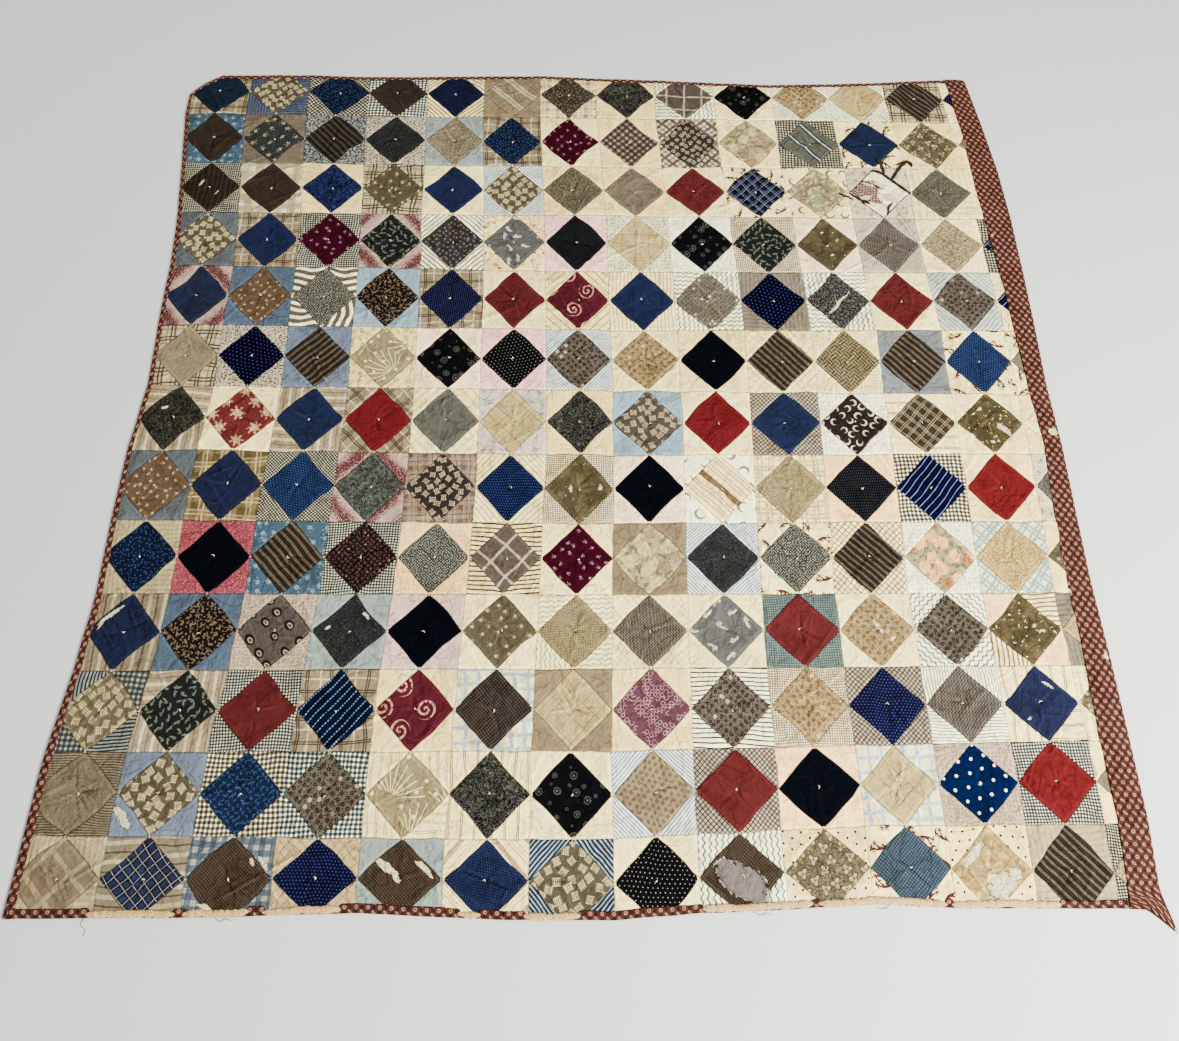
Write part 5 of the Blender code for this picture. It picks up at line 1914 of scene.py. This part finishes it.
def rag(row, col, wide, *points):
    """A flat strip of worn cover, through points in millimetres right of, above and over a tie."""
    x, y, z = through(points).T
    path = on_top(col - 0.5 + x / 150, row - 0.5 - y / 150, z * MM)
    return lumpy_tube(path, wide / 2 * MM, 8, 0.14, 0.3)


loose = [thread(0.93, (-3, -4, 1.5), (-6, -14, 0.6), (3, -20, 0.6), (2, -30, 0.6)),
         thread(2.4, (4, -5, 1.5), (12, -9, 0.6), (18, -5, 0.6), (30, -8, 0.6)),
         thread(8.6, (4, -5, 1.2), (14, -8, 0.6), (24, -5, 0.6), (34, -9, 0.6)),
         thread(10.2, (-4, -5, 1.2), (-14, -8, 0.6), (-24, -6, 0.6))]
loose_threads = new_piece("loose_threads", *joined(loose),
                          looks=[fluffy("thread_cotton", "#968268", "#604e3c")])
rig.slot(loose_threads, "tie_cotton")
rags = [rag(3, 12, 9, (34, 34, 0.6), (46, 52, 1.2), (56, 68, 2.2), (68, 84, 3.4), (82, 94, 3.6),
            (92, 88, 2.6), (92, 78, 1.4)),
        rag(3, 12, 9, (22, 50, 0.6), (19, 74, 1.6), (16, 92, 2.6), (9, 106, 2.2)),
        rag(3, 12, 4, (20, 88, 1.6), (34, 104, 2.6), (46, 110, 2.4), (60, 112, 1.2)),
        rag(3, 12, 9, (-14, 66, 0.6), (10, 60, 1.2), (34, 40, 1.2), (54, 20, 1), (76, -4, 0.8)),
        rag(3, 12, 8, (-72, -2, 0.6), (-54, -18, 1.2), (-38, -28, 1.4), (-26, -38, 0.8)),
        rag(3, 12, 4, (-44, 36, 0.8), (-16, 28, 1.6), (2, 14, 1.8), (14, 10, 1.0)),
        rag(3, 12, 6, (30, -30, 0.8), (16, -44, 1.6), (12, -60, 1.4), (6, -68, 0.6)),
        rag(3, 11, 6, (52, 2, 0.8), (62, -10, 1.6), (74, -14, 1.8), (84, -24, 0.8)),
        rag(13, 9, 7, (-62, 0, 0.8), (-40, -18, 1.6), (-24, -36, 1.8), (-16, -50, 0.8))]
cover_rags = new_piece("cover_rags", *joined(rags),
                       looks=[fluffy("rag_cotton", "#5c4c3e", "#2c221c")])
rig.slot(cover_rags, "patchwork")
tag = [rag(13, 11, 12, (4, -50, 0.6), (6, -58, 1.6), (7, -68, 1.4))]
tip_rag = new_piece("tip_rag", *joined(tag), looks=[fluffy("tag_cotton", "#607e9c", "#2c4264")])
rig.slot(tip_rag, "patchwork")
print("loose threads:", len(loose), "rags:", len(rags) + 1)

# %% [markdown]
# ## Floor, light and camera
# The quilt lies on a plain pale floor under one large soft light from the right and a weak one
# from the upper left, which is enough to model the puckers without hard shadows.  The camera
# stands at the quilt's lower edge, at eye height, and looks steeply down.

# %% Stage
bpy.ops.mesh.primitive_plane_add(size=16)
floor = bpy.context.object
floor.name = "floor"
pale = bpy.data.materials.new("pale_floor")
pale.use_nodes = True
shader = pale.node_tree.nodes["Principled BSDF"]
shader.inputs["Base Color"].default_value = (0.47, 0.465, 0.45, 1)
shader.inputs["Roughness"].default_value = 0.9
floor.data.materials.append(pale)
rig.stage(floor)


def soft_light(name, place, aim, size, watts):
    """A square area light that faces a point."""
    light = bpy.data.lights.new(name, "AREA")
    light.size, light.energy, light.color = size, watts, (0.97, 1, 0.97)
    lamp = bpy.data.objects.new(name, light)
    lamp.location = place
    aimed = np.array(aim, float) - place
    lamp.rotation_euler = (math.acos(-aimed[2] / np.linalg.norm(aimed)), 0,
                           math.atan2(aimed[1], aimed[0]) - math.pi / 2)
    bpy.context.scene.collection.objects.link(lamp)


soft_light("key", (2.6, -2.2, 2.45), (0.25, -0.05, 0), 1.0, 800)
soft_light("fill", (-1.8, 1.2, 2.6), (0, 0, 0), 2.4, 53)
world = bpy.data.worlds.new("studio")
world.use_nodes = True
world.node_tree.nodes["Background"].inputs["Color"].default_value = (1, 0.985, 0.96, 1)
world.node_tree.nodes["Background"].inputs["Strength"].default_value = 0.73
bpy.context.scene.world = world

# %% Camera
from mathutils import Matrix

PITCH, YAW, ROLL = (math.radians(a) for a in (70.61, 3.22, -3.19))
STAND = (-0.0378, -0.6155, 1.5037)
ahead = np.array([math.sin(YAW) * math.cos(PITCH), math.cos(YAW) * math.cos(PITCH),
                  -math.sin(PITCH)])
level = np.array([math.cos(YAW), -math.sin(YAW), 0])
below = np.cross(ahead, level)
right = math.cos(ROLL) * level + math.sin(ROLL) * below
below = math.cos(ROLL) * below - math.sin(ROLL) * level
lens = bpy.data.cameras.new("camera")
lens.sensor_width, lens.lens, lens.shift_y = 36, 22.6, -0.0513
camera = bpy.data.objects.new("camera", lens)
camera.matrix_world = Matrix([*np.c_[right, -below, -ahead, STAND].tolist(), [0, 0, 0, 1]])
bpy.context.scene.collection.objects.link(camera)
bpy.context.scene.camera = camera

# %% Sizes and finish
with open("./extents.json", "w") as file:
    json.dump({"cad": [[float(c) for c in corner] for corner in cad_box],
               "visual": [[float(c) for c in corner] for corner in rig.bounds()]}, file)
